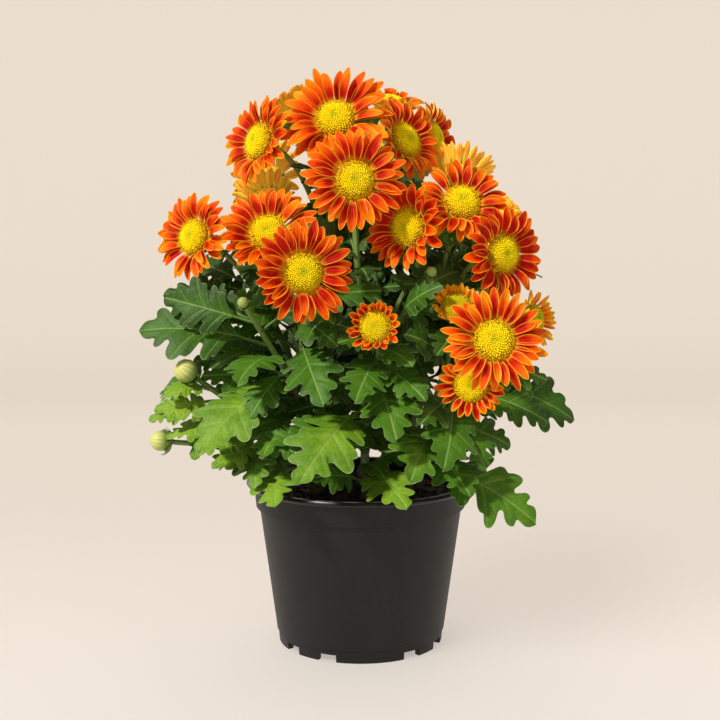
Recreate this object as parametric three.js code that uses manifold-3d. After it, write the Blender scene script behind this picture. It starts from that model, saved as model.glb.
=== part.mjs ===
// Potted garden chrysanthemum in a 14 cm nursery pot: pot, soil, eight leafy stems and their daisy-like
// blooms. Millimetres, +Z up. The origin is on the pot's axis, on the surface the pot stands on, and the
// plant's front faces -Y.

import * as THREE from 'three';
import { mergeVertices } from 'three/addons/utils/BufferGeometryUtils.js';
import Module from 'manifold-3d';

const wasm = await Module();
wasm.setup();

// Pot: outside sizes of a thin moulded nursery pot.
const RIM_D = 140;
const POT_H = 100;
const BAND_TOP_R = 65.2;
const BAND_FOOT_R = 64.2;
const BAND_FOOT_Z = 84;
const BODY_TOP_R = 62;
const BODY_FOOT_R = 51.8;
const FOOT_R = 50.4;
const FOOT_H = 7;
const FOOT_RING_W = 4;
const FOOT_CHAMFER = 0.6;
const STEP_H = 0.4;
const LIP_H = 3;
const LIP_ROUND = 1.2;
const LIP_W = 3.4;
const WALL = 1.8;
const FLOOR_UNDER_Z = 5;
const FLOOR_T = 2;
const SIDES = 32;
const NOTCH_W = 11.4;
const NOTCH_H = 4.4;
const NOTCH_FROM_FOOT = 15;
const NARROW_FEET_AT = [-38, 52, 142, 232];
const DRAIN_R = 5;
const DRAIN_SIDES = 8;
const DRAIN_RING_R = 33;
const DRAIN_TURN = 7;
const DRAINS = 3;

// Soil: fills the pot and leaves a plain hole for each stem.
const GAP = 0.3;
const SOIL_GAP = 0.8;
const SOIL_EDGE_Z = 90;
const SOIL_MOUND = 4;
const SOIL_ROUGH = 1.6;
const SOIL_RINGS = [[0.72, 0.5], [0.38, 0.85], [0, 1]];
const SOIL_SIDES = 24;
const ROOT_DEPTH = 24;
const HOLE_R = 3.1;
const HOLE_SIDES = 6;
const COLLAR_Z = SOIL_EDGE_Z + SOIL_MOUND + 1;
const ROOT_Z = COLLAR_Z - ROOT_DEPTH;

// Stems and flower stalks.
const STEM_R = 2.4;
const STALK_R = 1.5;
const STEM_SIDES = 5;
const STEM_STEPS = 8;
const STALK_STEPS = 3;
const STEM_REACH = 0.4;
const STALK_REACH = 0.35;
const NECK = 30;
const CALYX_R = 8.2;
const CALYX_H = 6.5;
const CALYX_RINGS = [[0.57, 0.8], [1, 1]];
const BUD_RINGS = [[0.15, 0.75], [0.7, 1], [1.35, 0.85], [1.85, 0.45]];

// Bloom: sizes along and round its own axis, from the plane the petals leave.
const DISC_R = 11;
const DISC_H = 5.4;
const DISC_SIDES = 9;
const DISC_RINGS = [[1, 0], [0.85, 0.58], [0.4, 0.92]];
const DISC_RELIEF = 0.4;
const DRUM_R = [8, 10.6, DISC_R + 0.8];
const DRUM_Z = [-5, -2.6, 0];
const SMALL = 0.82;
const PETALS = 10;
const PETALS_FEW = 8;
const PETALS_FULL_R = 26;
const PETAL_W = 7.6;
const PETAL_TIP_W = 0.52;
const PETAL_BEND = 0.68;
const PETAL_BOW = 0.32;
const PETAL_KEEL = 1.1;
const PETAL_TIP_T = 0.3;
const PETAL_STRAY = { length: 0.07, pitch: 4, turn: 0.03 };
const OUTER = { length: 1, lift: 0, width: 1 };
const INNER = { length: 0.84, lift: 17, width: 0.9 };

// Leaf: the blade's outline in pairs of the share of its length and the half width as a share of that length.
const LEAF_T = 0.75;
const LEAF_FOLD = 0.2;
const LEAF_CURL = 0.7;
const LEAF_ARCH = 0.44;
const PETIOLE_W = 1.1;
const BLADE = [[0, 0.03], [0.2, 0.32], [0.31, 0.13], [0.54, 0.38], [0.66, 0.17]];
const MIDRIB = [0.14, 0.36, 0.68];
const PETIOLE_KEEL = 1.7;
const LEAF_LIGHT = 0.7;
const LEAF_CLEAR = 0.4;
const LEAF_FROM = 5;
const LEAF_MOST = 76;
const LEAF_SPACING = 25;
const FACE_FRONT = 1.2;

// The bends tried in turn to bring a leaf clear: turn and tilt in degrees, share of the length kept.
const BENDS = [
  [0, 0, 1], [8, 0, 1], [-8, 0, 1], [0, 9, 1], [0, -9, 1], [14, 6, 1], [-14, 6, 1], [14, -8, 1], [-14, -8, 1],
  [0, 18, 0.95], [0, -18, 0.95], [22, 0, 0.9], [-22, 0, 0.9], [20, 16, 0.9], [-20, 16, 0.9], [20, -16, 0.9],
  [-20, -16, 0.9], [0, 28, 0.85], [0, -28, 0.85], [32, 8, 0.8], [-32, 8, 0.8], [0, 0, 0.75], [0, 12, 0.7],
];

const COLOURS = {
  pot: [0x1d1e20, 0.5], soil: [0x2a1e17, 0.95], stem: [0x4f8a35, 0.6], petals: [0xe2400f, 0.55],
  disc: [0xf0c010, 0.7],
};

// Each stem: where it stands in the soil, and the bloom or bud that its main shoot carries.
const STEMS = {
  front: { root: [3, -27], leader: 'b04' },
  top_left: { root: [-13, 3], leader: 'b01' },
  top_right: { root: [15, 5], leader: 'b05' },
  left: { root: [-29, -16], leader: 'b13' },
  right: { root: [30, -12], leader: 'b09' },
  low_right: { root: [27, -38], leader: 'b18' },
  back: { root: [2, 34], leader: 'b24' },
  low_left: { root: [-42, -32], leader: 'u3' },
};

// Each bloom: its stem, the height where its stalk forks off, the top of its disc, the way it faces
// (degrees round from the front towards +X, degrees up), the spread of its petals from the axis, and how far
// they are cupped up, in degrees.
const BLOOMS = {
  b01: { on: 'top_left', fork: 0, at: [-15, -38, 317], faces: [-10, 28], r: 32.5, cup: 6 },
  b02: { on: 'top_left', fork: 175, at: [-62, -27, 304], faces: [-45, 15], r: 27, cup: 8 },
  b03: { on: 'top_left', fork: 200, at: [-47, 18, 324], faces: [-120, 50], r: 25, cup: 10 },
  b04: { on: 'front', fork: 0, at: [-3, -70, 280], faces: [3, 8], r: 28.5, cup: 4 },
  b05: { on: 'top_right', fork: 0, at: [19, 18, 333], faces: [20, 68], r: 22, cup: 10 },
  b06: { on: 'top_right', fork: 185, at: [29, -15, 306], faces: [40, 20], r: 25, cup: 10 },
  b07: { on: 'top_right', fork: 210, at: [50, 34, 310], faces: [62, 12], r: 24, cup: 10 },
  b08: { on: 'top_right', fork: 165, at: [61, 8, 289], faces: [160, 50], r: 24, cup: 30 },
  b09: { on: 'right', fork: 0, at: [58, -42, 270], faces: [5, 30], r: 27, cup: 8 },
  b10: { on: 'right', fork: 125, at: [82, -58, 239], faces: [32, 2], r: 27, cup: 4 },
  b11: { on: 'front', fork: 145, at: [24, -60, 254], faces: [-35, 5], r: 26, cup: 22 },
  b12: { on: 'left', fork: 135, at: [-100, -26, 249], faces: [-35, 15], r: 27, cup: 8 },
  b13: { on: 'left', fork: 0, at: [-53, -52, 253], faces: [-10, 30], r: 29, cup: 8 },
  b14: { on: 'left', fork: 122, at: [-30, -92, 230], faces: [10, 5], r: 28, cup: 4 },
  b15: { on: 'left', fork: 165, at: [-59, 10, 274], faces: [-160, 45], r: 25, cup: 12 },
  b16: { on: 'front', fork: 118, at: [7, -88, 201], faces: [-10, 10], r: 17, cup: 48, small: true },
  b17: { on: 'low_right', fork: 118, at: [53, -62, 212], faces: [-5, 35], r: 16, cup: 46, small: true },
  b18: { on: 'low_right', fork: 0, at: [72, -88, 194], faces: [0, 15], r: 28.5, cup: 6 },
  b19: { on: 'low_right', fork: 112, at: [103, -44, 202], faces: [50, 10], r: 18, cup: 30, small: true },
  b20: { on: 'low_right', fork: 106, at: [60, -76, 167], faces: [-10, 0], r: 20, cup: 20, small: true },
  b21: { on: 'right', fork: 145, at: [92, 4, 261], faces: [110, 30], r: 25, cup: 12 },
  b22: { on: 'back', fork: 140, at: [-62, 58, 286], faces: [-140, 25], r: 27, cup: 8 },
  b23: { on: 'back', fork: 120, at: [-12, 94, 252], faces: [-172, 10], r: 28, cup: 8 },
  b24: { on: 'back', fork: 0, at: [28, 70, 306], faces: [165, 32], r: 28, cup: 6 },
  b25: { on: 'back', fork: 118, at: [80, 52, 226], faces: [125, 12], r: 27, cup: 8 },
};

// Each bud: its stem, the height of its fork, its tip, the way it points, and its radius.
const BUDS = {
  u1: { on: 'left', fork: 118, at: [-66, -66, 214], faces: [-20, 40], r: 3.2 },
  u2: { on: 'front', fork: 160, at: [40, -60, 231], faces: [20, 50], r: 3 },
  u3: { on: 'low_left', fork: 0, at: [-105, -44, 175], faces: [-50, 35], r: 7 },
  u4: { on: 'low_left', fork: 108, at: [-121, -46, 132], faces: [-70, 10], r: 6 },
};

// Leaves placed one by one where they shape the plant's front. Each row gives the bloom or bud on whose stalk
// it sits, the height of its foot, its tip, the length of its blade, and its roll in degrees.
const PLACED_LEAVES = [
  ['u1', 185, [-126, -46, 196], 58, 0],
  ['u1', 165, [-89, -78, 130], 58, 0],
  ['u1', 178, [-67, -82, 169], 44, 0],
  ['u1', 200, [-109, -30, 208], 44, -20],
  ['b12', 200, [-118, -8, 214], 46, 0],
  ['u3', 150, [-99, -44, 121], 36, 0],
  ['b14', 185, [-28, -88, 159], 50, 0],
  ['b14', 200, [-13, -80, 190], 38, 0],
  ['b16', 178, [-3, -94, 161], 38, 0],
  ['b16', 165, [19, -96, 141], 50, 0],
  ['b16', 150, [-33, -102, 119], 60, 0],
  ['b16', 143, [-40, -84, 156], 44, 0],
  ['b04', 107, [25, -86, 102], 46, 0],
  ['b04', 102, [-8, -86, 107], 42, 0],
  ['b18', 138, [27, -92, 118], 52, 0],
  ['u4', 122, [-59, -72, 111], 38, 0],
  ['u3', 112, [-47, -84, 101], 46, 0],
  ['b20', 150, [45, -90, 124], 48, 0],
  ['b20', 145, [74, -80, 133], 38, 0],
  ['b19', 140, [95, -56, 112], 48, 0],
  ['b19', 165, [127, -24, 140], 56, 0],
  ['b19', 158, [108, -46, 143], 42, 0],
  ['b18', 118, [99, -66, 89], 60, 0],
  ['b20', 125, [60, -84, 107], 44, 0],
  ['b19', 172, [109, -22, 165], 34, 0],
  ['b16', 182, [22, -88, 180], 30, 0],
  ['b16', 173, [24, -92, 168], 32, 0],
  ['b16', 160, [21, -90, 158], 28, 0],
  ['b16', 190, [-12, -84, 192], 24, 0],
  ['b17', 172, [18, -84, 173], 42, 0],
  ['b18', 150, [33, -84, 148], 34, 0],
  ['b17', 192, [38, -70, 184], 28, 0],
  ['b14', 208, [-15, -80, 202], 30, 0],
  ['b04', 113, [13, -60, 108], 30, 0],
  ['b04', 135, [19, -60, 122], 34, 150],
  ['u3', 152, [-121, -48, 143], 28, 0],
  ['u4', 112, [-66, -58, 108], 34, 0],
  ['u1', 140, [-54, -78, 129], 48, 0],
  ['b11', 185, [10, -62, 214], 34, 0],
  ['u2', 200, [52, -62, 218], 30, 0],
  ['b04', 215, [-22, -58, 226], 36, 0],
  ['b10', 180, [82, -52, 196], 38, 0],
  ['b13', 195, [-62, -62, 190], 36, 0],
  ['b12', 178, [-84, -52, 184], 40, 0],
  ['b10', 150, [72, -48, 168], 40, 0],
];

// The other leaves follow a rule: one at each step up a stem, turned on by the golden angle.
const LEAF_STEP = 15;
const GOLDEN = 137.5;
const BLADE_LOW = 52;
const BLADE_HIGH = 24;
const BLADE_HIGH_Z = 300;
const BLADE_STRAY = 0.12;
const PETIOLE_SHARE = 0.3;
const RISE_LOW = 2;
const RISE_HIGH = 14;
const RISE_STRAY = 12;
const OUTWARD_LEAST = 0.2;

const UP = new THREE.Vector3(0, 0, 1);
const FRONT = new THREE.Vector3(0, -1, 0);
const vec = (a) => new THREE.Vector3(a[0], a[1], a[2]);
const radians = THREE.MathUtils.degToRad;
const mix = THREE.MathUtils.lerp;

// A repeatable number from 0 to 1 for each counter.
function wobble(n) {
  const x = Math.sin(n * 12.9898) * 43758.5453;
  return x - Math.floor(x);
}

function heading([turn, tilt]) {
  const a = radians(turn);
  const e = radians(tilt);
  return new THREE.Vector3(Math.cos(e) * Math.sin(a), -Math.cos(e) * Math.cos(a), Math.sin(e));
}

// A geometry's closed mesh as a solid, and back.
function solidOf(geometry) {
  geometry.deleteAttribute('normal');
  geometry.deleteAttribute('uv');
  const merged = mergeVertices(geometry, 1e-4);
  const vertProperties = new Float32Array(merged.attributes.position.array);
  const triVerts = new Uint32Array(merged.index.array);
  return new wasm.Manifold(new wasm.Mesh({ numProp: 3, vertProperties, triVerts }));
}

function solidFrom(points, faces) {
  const vertProperties = new Float32Array(points.flatMap((p) => [p.x, p.y, p.z]));
  const triVerts = new Uint32Array(faces.flat());
  return new wasm.Manifold(new wasm.Mesh({ numProp: 3, vertProperties, triVerts }));
}

function geometryOf(solid) {
  const mesh = solid.getMesh();
  const geometry = new THREE.BufferGeometry();
  geometry.setAttribute('position', new THREE.BufferAttribute(new Float32Array(mesh.vertProperties), 3));
  geometry.setIndex(new THREE.BufferAttribute(new Uint32Array(mesh.triVerts), 1));
  geometry.computeVertexNormals();
  return geometry;
}

// A lathe about Z from [radius, height] points that go round the section with its inside on their left.
function turned(profile, sides) {
  const geometry = new THREE.LatheGeometry(profile.map(([r, z]) => new THREE.Vector2(r, z)), sides);
  return geometry.rotateX(Math.PI / 2);
}

// Rings of points skinned into one closed body, capped at both ends.
function skinned(rings) {
  const points = rings.flat();
  const n = rings[0].length;
  const faces = [];
  for (let i = 0; i + 1 < rings.length; i += 1) {
    for (let j = 0; j < n; j += 1) {
      const a = i * n + j;
      const b = i * n + ((j + 1) % n);
      faces.push([a, b, b + n], [a, b + n, a + n]);
    }
  }
  const last = (rings.length - 1) * n;
  for (let j = 1; j + 1 < n; j += 1) faces.push([0, j + 1, j], [last, last + j, last + j + 1]);
  return solidFrom(points, faces);
}

// Pot.
function makePot() {
  const lipR = RIM_D / 2;
  const profile = [
    [0, FLOOR_UNDER_Z], [FOOT_R - FOOT_RING_W, FLOOR_UNDER_Z], [FOOT_R - FOOT_RING_W + FOOT_CHAMFER, 0],
    [FOOT_R, 0], [FOOT_R + FOOT_CHAMFER, FOOT_H], [BODY_FOOT_R, FOOT_H + FOOT_CHAMFER],
    [BODY_TOP_R, BAND_FOOT_Z - STEP_H], [BAND_FOOT_R, BAND_FOOT_Z + STEP_H], [BAND_TOP_R, POT_H - LIP_H - 1],
    [lipR - LIP_ROUND, POT_H - LIP_H], [lipR, POT_H - LIP_H / 2], [lipR - LIP_ROUND / 2, POT_H],
    [lipR - LIP_W, POT_H], ...innerWall(0),
  ];
  let pot = solidOf(turned(profile, SIDES));
  for (const foot of NARROW_FEET_AT) {
    for (const side of [-1, 1]) {
      const notch = new THREE.BoxGeometry(3 * FOOT_RING_W, NOTCH_W, 2 * NOTCH_H);
      notch.translate(FOOT_R - FOOT_RING_W / 2, 0, 0);
      notch.rotateZ(radians(foot + side * NOTCH_FROM_FOOT - 90));
      pot = pot.subtract(solidOf(notch));
    }
  }
  for (let i = 0; i < DRAINS; i += 1) {
    const drain = new THREE.CylinderGeometry(DRAIN_R, DRAIN_R, 4 * FLOOR_T, DRAIN_SIDES).rotateX(Math.PI / 2);
    const turn = radians(DRAIN_TURN + (360 / DRAINS) * i);
    drain.translate(DRAIN_RING_R * Math.cos(turn), DRAIN_RING_R * Math.sin(turn), FLOOR_UNDER_Z);
    pot = pot.subtract(solidOf(drain));
  }
  return pot;
}

// The pot's inside from the lip down to the floor's middle, drawn in by a clearance.
function innerWall(clear) {
  const floorZ = FLOOR_UNDER_Z + FLOOR_T + clear;
  return [
    [BAND_TOP_R - WALL - clear, POT_H - 1.5 * LIP_H],
    [BAND_FOOT_R - WALL - clear, BAND_FOOT_Z - STEP_H + clear],
    [BODY_TOP_R - WALL - clear, BAND_FOOT_Z - 3 * STEP_H], [BODY_FOOT_R - WALL - clear, floorZ], [0, floorZ],
  ];
}

// Soil, crumbly on top.
function makeSoil(roots) {
  const wall = innerWall(SOIL_GAP).slice(1).reverse();
  const edgeR = mix(BAND_FOOT_R, BAND_TOP_R, 0.5) - WALL - SOIL_GAP;
  const rings = [[1, 0], ...SOIL_RINGS].map(([r, h]) => [r * edgeR, SOIL_EDGE_Z + h * SOIL_MOUND]);
  const geometry = turned([...wall, ...rings], SOIL_SIDES);
  const at = geometry.attributes.position;
  for (let i = 0; i < at.count; i += 1) {
    const r = Math.hypot(at.getX(i), at.getY(i));
    if (at.getZ(i) <= SOIL_EDGE_Z || r < 1) continue;
    const crumb = Math.sin(at.getX(i) * 0.7) * Math.cos(at.getY(i) * 0.9 + 1);
    at.setZ(i, at.getZ(i) + SOIL_ROUGH * crumb);
  }
  let soil = solidOf(geometry);
  for (const [x, y] of roots) {
    const hole = new THREE.CylinderGeometry(HOLE_R, HOLE_R, 2 * ROOT_DEPTH, HOLE_SIDES).rotateX(Math.PI / 2);
    hole.translate(x, y, SOIL_EDGE_Z + SOIL_MOUND);
    soil = soil.subtract(solidOf(hole));
  }
  return soil;
}

// Stem and stalk curves.
function neckOf(head) {
  const axis = heading(head.faces);
  const depth = head.cup === undefined ? 2 * head.r : DISC_H + GAP - DRUM_Z[0] * sizeOf(head) + GAP + CALYX_H;
  return vec(head.at).addScaledVector(axis, -depth);
}

function curveTo(start, along, head, reach) {
  const axis = heading(head.faces);
  const end = neckOf(head);
  const span = start.distanceTo(end);
  const first = start.clone().addScaledVector(along, reach * span);
  const second = end.clone().addScaledVector(axis, -Math.min(NECK, STEM_REACH * span));
  return new THREE.CubicBezierCurve3(start, first, second, end);
}

// A point on a stem or stalk as built, in straight stretches between points of its curve.
function pointOn({ curve, steps }, t) {
  const i = Math.min(Math.floor(t * steps), steps - 1);
  return curve.getPoint(i / steps).lerp(curve.getPoint((i + 1) / steps), t * steps - i);
}

function shareAtHeight(path, z) {
  let low = 0;
  let high = 1;
  for (let i = 0; i < 24; i += 1) {
    const t = (low + high) / 2;
    if (pointOn(path, t).z < z) low = t;
    else high = t;
  }
  return low;
}

const HEADS = { ...BLOOMS, ...BUDS };
const PATHS = {};
for (const [name, stem] of Object.entries(STEMS)) {
  const root = new THREE.Vector3(stem.root[0], stem.root[1], COLLAR_Z);
  const main = curveTo(root, UP, HEADS[stem.leader], STEM_REACH);
  PATHS[stem.leader] = { curve: main, steps: STEM_STEPS, stem: name };
  for (const [key, head] of Object.entries(HEADS)) {
    if (head.on !== name || key === stem.leader) continue;
    const t = shareAtHeight(PATHS[stem.leader], head.fork);
    const stalk = curveTo(pointOn(PATHS[stem.leader], t), main.getTangent(t), head, STALK_REACH);
    PATHS[key] = { curve: stalk, steps: STALK_STEPS, stem: name };
  }
}

// Round rings along a curve, without twist.
function ringsAlong(curve, steps, radiusAt) {
  const rings = [];
  let side = new THREE.Vector3(1, 0, 0);
  for (let i = 0; i <= steps; i += 1) {
    const t = i / steps;
    const along = curve.getTangent(t);
    side = side.addScaledVector(along, -side.dot(along)).normalize();
    rings.push(ringAt(curve.getPoint(t), along, side, radiusAt(t)));
  }
  return { rings, side };
}

function ringAt(centre, along, side, r) {
  const other = along.clone().cross(side);
  return Array.from({ length: STEM_SIDES }, (unused, j) => {
    const a = (2 * Math.PI * j) / STEM_SIDES;
    return centre.clone().addScaledVector(side, r * Math.cos(a)).addScaledVector(other, r * Math.sin(a));
  });
}

// A stem or stalk with what ends it: a calyx under a bloom, or a bud.
function makeStalk(key, isMain) {
  const head = HEADS[key];
  const { curve, steps } = PATHS[key];
  const foot = isMain ? STEM_R : STALK_R + 0.2;
  const { rings, side } = ringsAlong(curve, steps, (t) => mix(foot, STALK_R, t));
  if (isMain) rings.unshift(rings[0].map((p) => p.clone().setZ(ROOT_Z)));
  const axis = heading(head.faces);
  const end = neckOf(head);
  const isBud = head.cup === undefined;
  for (const [d, r] of isBud ? BUD_RINGS : CALYX_RINGS) {
    const centre = end.clone().addScaledVector(axis, d * (isBud ? head.r : CALYX_H));
    rings.push(ringAt(centre, axis, side, r * (isBud ? head.r : CALYX_R)));
  }
  return skinned(rings);
}

// Bloom: a drum whose two bands of triangles each grow a layer of petals.
function bloomFrame(head) {
  const axis = heading(head.faces);
  const across = new THREE.Vector3().crossVectors(UP, axis).normalize();
  const upward = new THREE.Vector3().crossVectors(axis, across);
  const origin = vec(head.at).addScaledVector(axis, -(DISC_H + GAP));
  return (r, a, h) => origin.clone().addScaledVector(across, r * Math.cos(a))
    .addScaledVector(upward, r * Math.sin(a)).addScaledVector(axis, h);
}

function makePetals(head, seed) {
  const place = bloomFrame(head);
  const count = head.r < PETALS_FULL_R ? PETALS_FEW : PETALS;
  const size = sizeOf(head);
  const step = (2 * Math.PI) / count;
  const twist = wobble(seed) * step;
  const points = [];
  const faces = [];
  DRUM_R.forEach((r, k) => {
    for (let j = 0; j < count; j += 1) {
      points.push(place(r * size, twist + (j + (k % 2) / 2) * step, DRUM_Z[k] * size));
    }
  });
  for (let layer = 0; layer < 2; layer += 1) {
    for (let j = 0; j < count; j += 1) {
      const next = (j + 1) % count;
      const [low, other] = (layer === 0 ? [next, j] : [j, next]).map((i) => layer * count + i);
      const [left, right] = [j, next].map((i) => (layer + 1) * count + i);
      faces.push(layer === 0 ? [other, low, left] : [low, other, right]);
      const petal = { layer, turn: twist + (j + 1 - layer / 2) * step, seed: seed * 50 + layer * 20 + j };
      growPetal(points, faces, [left, right, low], head, place, petal);
    }
  }
  for (let j = 1; j + 1 < count; j += 1) {
    faces.push([0, j + 1, j], [2 * count, 2 * count + j, 2 * count + j + 1]);
  }
  return solidFrom(points, faces);
}

// A petal: from three corners of the drum over a bend to a blunt tip, with a keel underneath.
function growPetal(points, faces, root, head, place, { layer, turn, seed }) {
  const size = sizeOf(head);
  const share = layer === 0 ? OUTER : INNER;
  const stray = (most, n) => mix(-most, most, wobble(seed + n));
  const r0 = DRUM_R[layer + 1] * size;
  const h0 = DRUM_Z[layer + 1] * size;
  const length = (head.r - r0) * share.length * (1 + stray(PETAL_STRAY.length, 0));
  const pitch = radians(head.cup + share.lift + stray(PETAL_STRAY.pitch, 0.5));
  const middle = turn + stray(PETAL_STRAY.turn, 0.25);
  const width = PETAL_W * size * share.width;
  const at = (along, half, drop) => {
    const out = along * length;
    const up = PETAL_BOW * (1 - along) * out - drop;
    const r = r0 + out * Math.cos(pitch) - up * Math.sin(pitch);
    const h = h0 + out * Math.sin(pitch) + up * Math.cos(pitch);
    return place(Math.hypot(r, half), middle + Math.atan2(half, r), h);
  };
  const first = points.length;
  const half = width / 2;
  const tip = half * PETAL_TIP_W;
  points.push(at(PETAL_BEND, -half, 0), at(PETAL_BEND, half, 0), at(PETAL_BEND, 0, PETAL_KEEL));
  points.push(at(1, -tip, PETAL_TIP_T), at(1, tip, PETAL_TIP_T));
  const [left, right, low] = root;
  const [l, r, k, tl, tr] = [0, 1, 2, 3, 4].map((i) => first + i);
  faces.push([left, l, r], [left, r, right], [left, low, k], [left, k, l], [right, r, k], [right, k, low]);
  faces.push([l, tl, tr], [l, tr, r], [l, k, tl], [k, tr, tl], [k, r, tr]);
}

// Disc: a dome of florets, raised and sunk by turns.
function makeDisc(head, seed) {
  const place = bloomFrame(head);
  const size = sizeOf(head);
  const rings = DISC_RINGS.map(([r, h], k) => Array.from({ length: DISC_SIDES }, (unused, j) => {
    const raised = k === 0 ? 0 : DISC_RELIEF * ((j + k) % 2);
    const turn = wobble(seed + 7) + ((j + k / 2) * 2 * Math.PI) / DISC_SIDES;
    return place(r * DISC_R * size, turn, GAP + (h * DISC_H + raised) * size);
  }));
  return skinned(rings);
}

function sizeOf(head) {
  return head.small ? SMALL : 1;
}

// Leaf: a blade with two lobes a side on its petiole, arched along the midrib and folded up from it. The same
// shape, grown all round and cut short at its foot, tests whether a leaf is clear.
function makeLeaf(leaf, grow = 0, from = 0) {
  const along = leaf.tip.clone().sub(leaf.base);
  const length = along.length();
  along.normalize();
  const outward = new THREE.Vector3(leaf.base.x + leaf.tip.x, leaf.base.y + leaf.tip.y, 0).normalize();
  if (leaf.isPlaced) outward.addScaledVector(FRONT, FACE_FRONT).normalize();
  const face = outward.addScaledVector(UP, LEAF_LIGHT);
  face.addScaledVector(along, -face.dot(along)).normalize().applyAxisAngle(along, radians(leaf.roll));
  const side = face.clone().cross(along);
  const start = length - leaf.blade;
  const at = (d, w, drop) => {
    const x = Math.min(d / length, 1);
    const arch = LEAF_ARCH * length * x * (1 - x);
    const rise = arch + Math.abs(w) * LEAF_FOLD - (LEAF_CURL * w * w) / leaf.blade - drop;
    return leaf.base.clone().addScaledVector(along, d).addScaledVector(side, w).addScaledVector(face, rise);
  };
  const flat = [[from, -PETIOLE_W - grow], [from, PETIOLE_W + grow]];
  for (const [u, w] of BLADE) {
    const half = w * leaf.blade + grow;
    flat.push([start + u * leaf.blade, -half], [start + u * leaf.blade, half]);
  }
  flat.push([length + grow, 0], ...MIDRIB.map((u) => [start + u * leaf.blade, 0]));
  const keel = flat.length;
  const under = (i) => keel + Math.max(i - 1, 0);
  const [tip, m1, m2, m3] = [1, 2, 3, 4].map((i) => 2 * BLADE.length + 1 + i);
  const left = [[3, m1, 5], [5, m1, m2], [5, m2, 7], [7, m2, 9], [9, m2, m3], [9, m3, 11], [11, m3, tip]];
  const right = left.map(([a, b, c]) => [a, c, b].map((i) => (i < tip ? i - 1 : i)));
  const top = [[0, 2, 3], [0, 3, 1], [2, m1, 3], ...left, ...right];
  const rim = [0, 2, 4, 6, 8, 10, tip, 11, 9, 7, 5, 3, 1];
  const faces = [...top, ...top.map(([a, b, c]) => [under(a), under(c), under(b)])];
  rim.forEach((a, i) => {
    const b = rim[(i + 1) % rim.length];
    faces.push([b, a, under(a)], [b, under(a), under(b)]);
  });
  const points = [...flat.map(([d, w]) => at(d, w, -grow)), at(from, 0, PETIOLE_KEEL + grow)];
  points.push(...flat.slice(2).map(([d, w]) => at(d, w, LEAF_T + grow)));
  return solidFrom(points, faces.filter(([a, b, c]) => a !== b && b !== c && a !== c));
}

// The leaf after the first bend that takes it clear of everything placed so far, if one does.
function clearLeaf(leaf, placed) {
  const reach = leaf.tip.clone().sub(leaf.base);
  for (const [turn, tilt, share] of BENDS) {
    const across = reach.clone().cross(UP).normalize();
    const bent = reach.clone().multiplyScalar(share).applyAxisAngle(across, radians(tilt));
    bent.applyAxisAngle(UP, radians(turn));
    const tried = { ...leaf, tip: leaf.base.clone().add(bent), blade: leaf.blade * share };
    const envelope = makeLeaf(tried, LEAF_CLEAR, LEAF_FROM);
    const isClear = placed.every((other) => isApart(envelope, other));
    envelope.delete();
    if (isClear) return tried;
  }
  return null;
}

function boxOf(solid) {
  const points = solid.getMesh().vertProperties;
  const box = new THREE.Box3();
  for (let i = 0; i < points.length; i += 3) box.expandByPoint(vec(points.subarray(i, i + 3)));
  return box;
}

function isApart(solid, other) {
  if (!boxOf(solid).intersectsBox(other.box)) return true;
  const shared = solid.intersect(other.solid);
  const isEmpty = shared.isEmpty();
  shared.delete();
  return isEmpty;
}

// Every leaf asked for: those placed by hand first, then those by rule.
function askedLeaves() {
  const leaves = PLACED_LEAVES.map(([path, z, tip, blade, roll]) => {
    const base = pointOn(PATHS[path], shareAtHeight(PATHS[path], z));
    return { path, base, tip: vec(tip), blade, roll, isPlaced: true };
  });
  const ruled = [];
  let count = 0;
  for (const path of Object.keys(PATHS)) {
    const { curve } = PATHS[path];
    const places = Math.floor(curve.v0.distanceTo(curve.v3) / LEAF_STEP);
    for (let i = 1; i < places; i += 1) {
      count += 1;
      const base = pointOn(PATHS[path], i / places);
      const high = THREE.MathUtils.clamp((base.z - COLLAR_Z) / (BLADE_HIGH_Z - COLLAR_Z), 0, 1);
      const blade = mix(BLADE_LOW, BLADE_HIGH, high) * mix(1 - BLADE_STRAY, 1 + BLADE_STRAY, wobble(count));
      const rise = mix(RISE_LOW, RISE_HIGH, high) + mix(-RISE_STRAY, RISE_STRAY, wobble(count + 0.5));
      const way = heading([count * GOLDEN, rise]);
      if (way.x * base.x + way.y * base.y < OUTWARD_LEAST * Math.hypot(base.x, base.y)) continue;
      const tip = base.clone().addScaledVector(way, blade * (1 + PETIOLE_SHARE));
      ruled.push({ path, base, tip, blade, roll: 0, isPlaced: false });
    }
  }
  ruled.sort((a, b) => b.tip.y - a.tip.y);
  return [...leaves, ...ruled];
}

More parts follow.
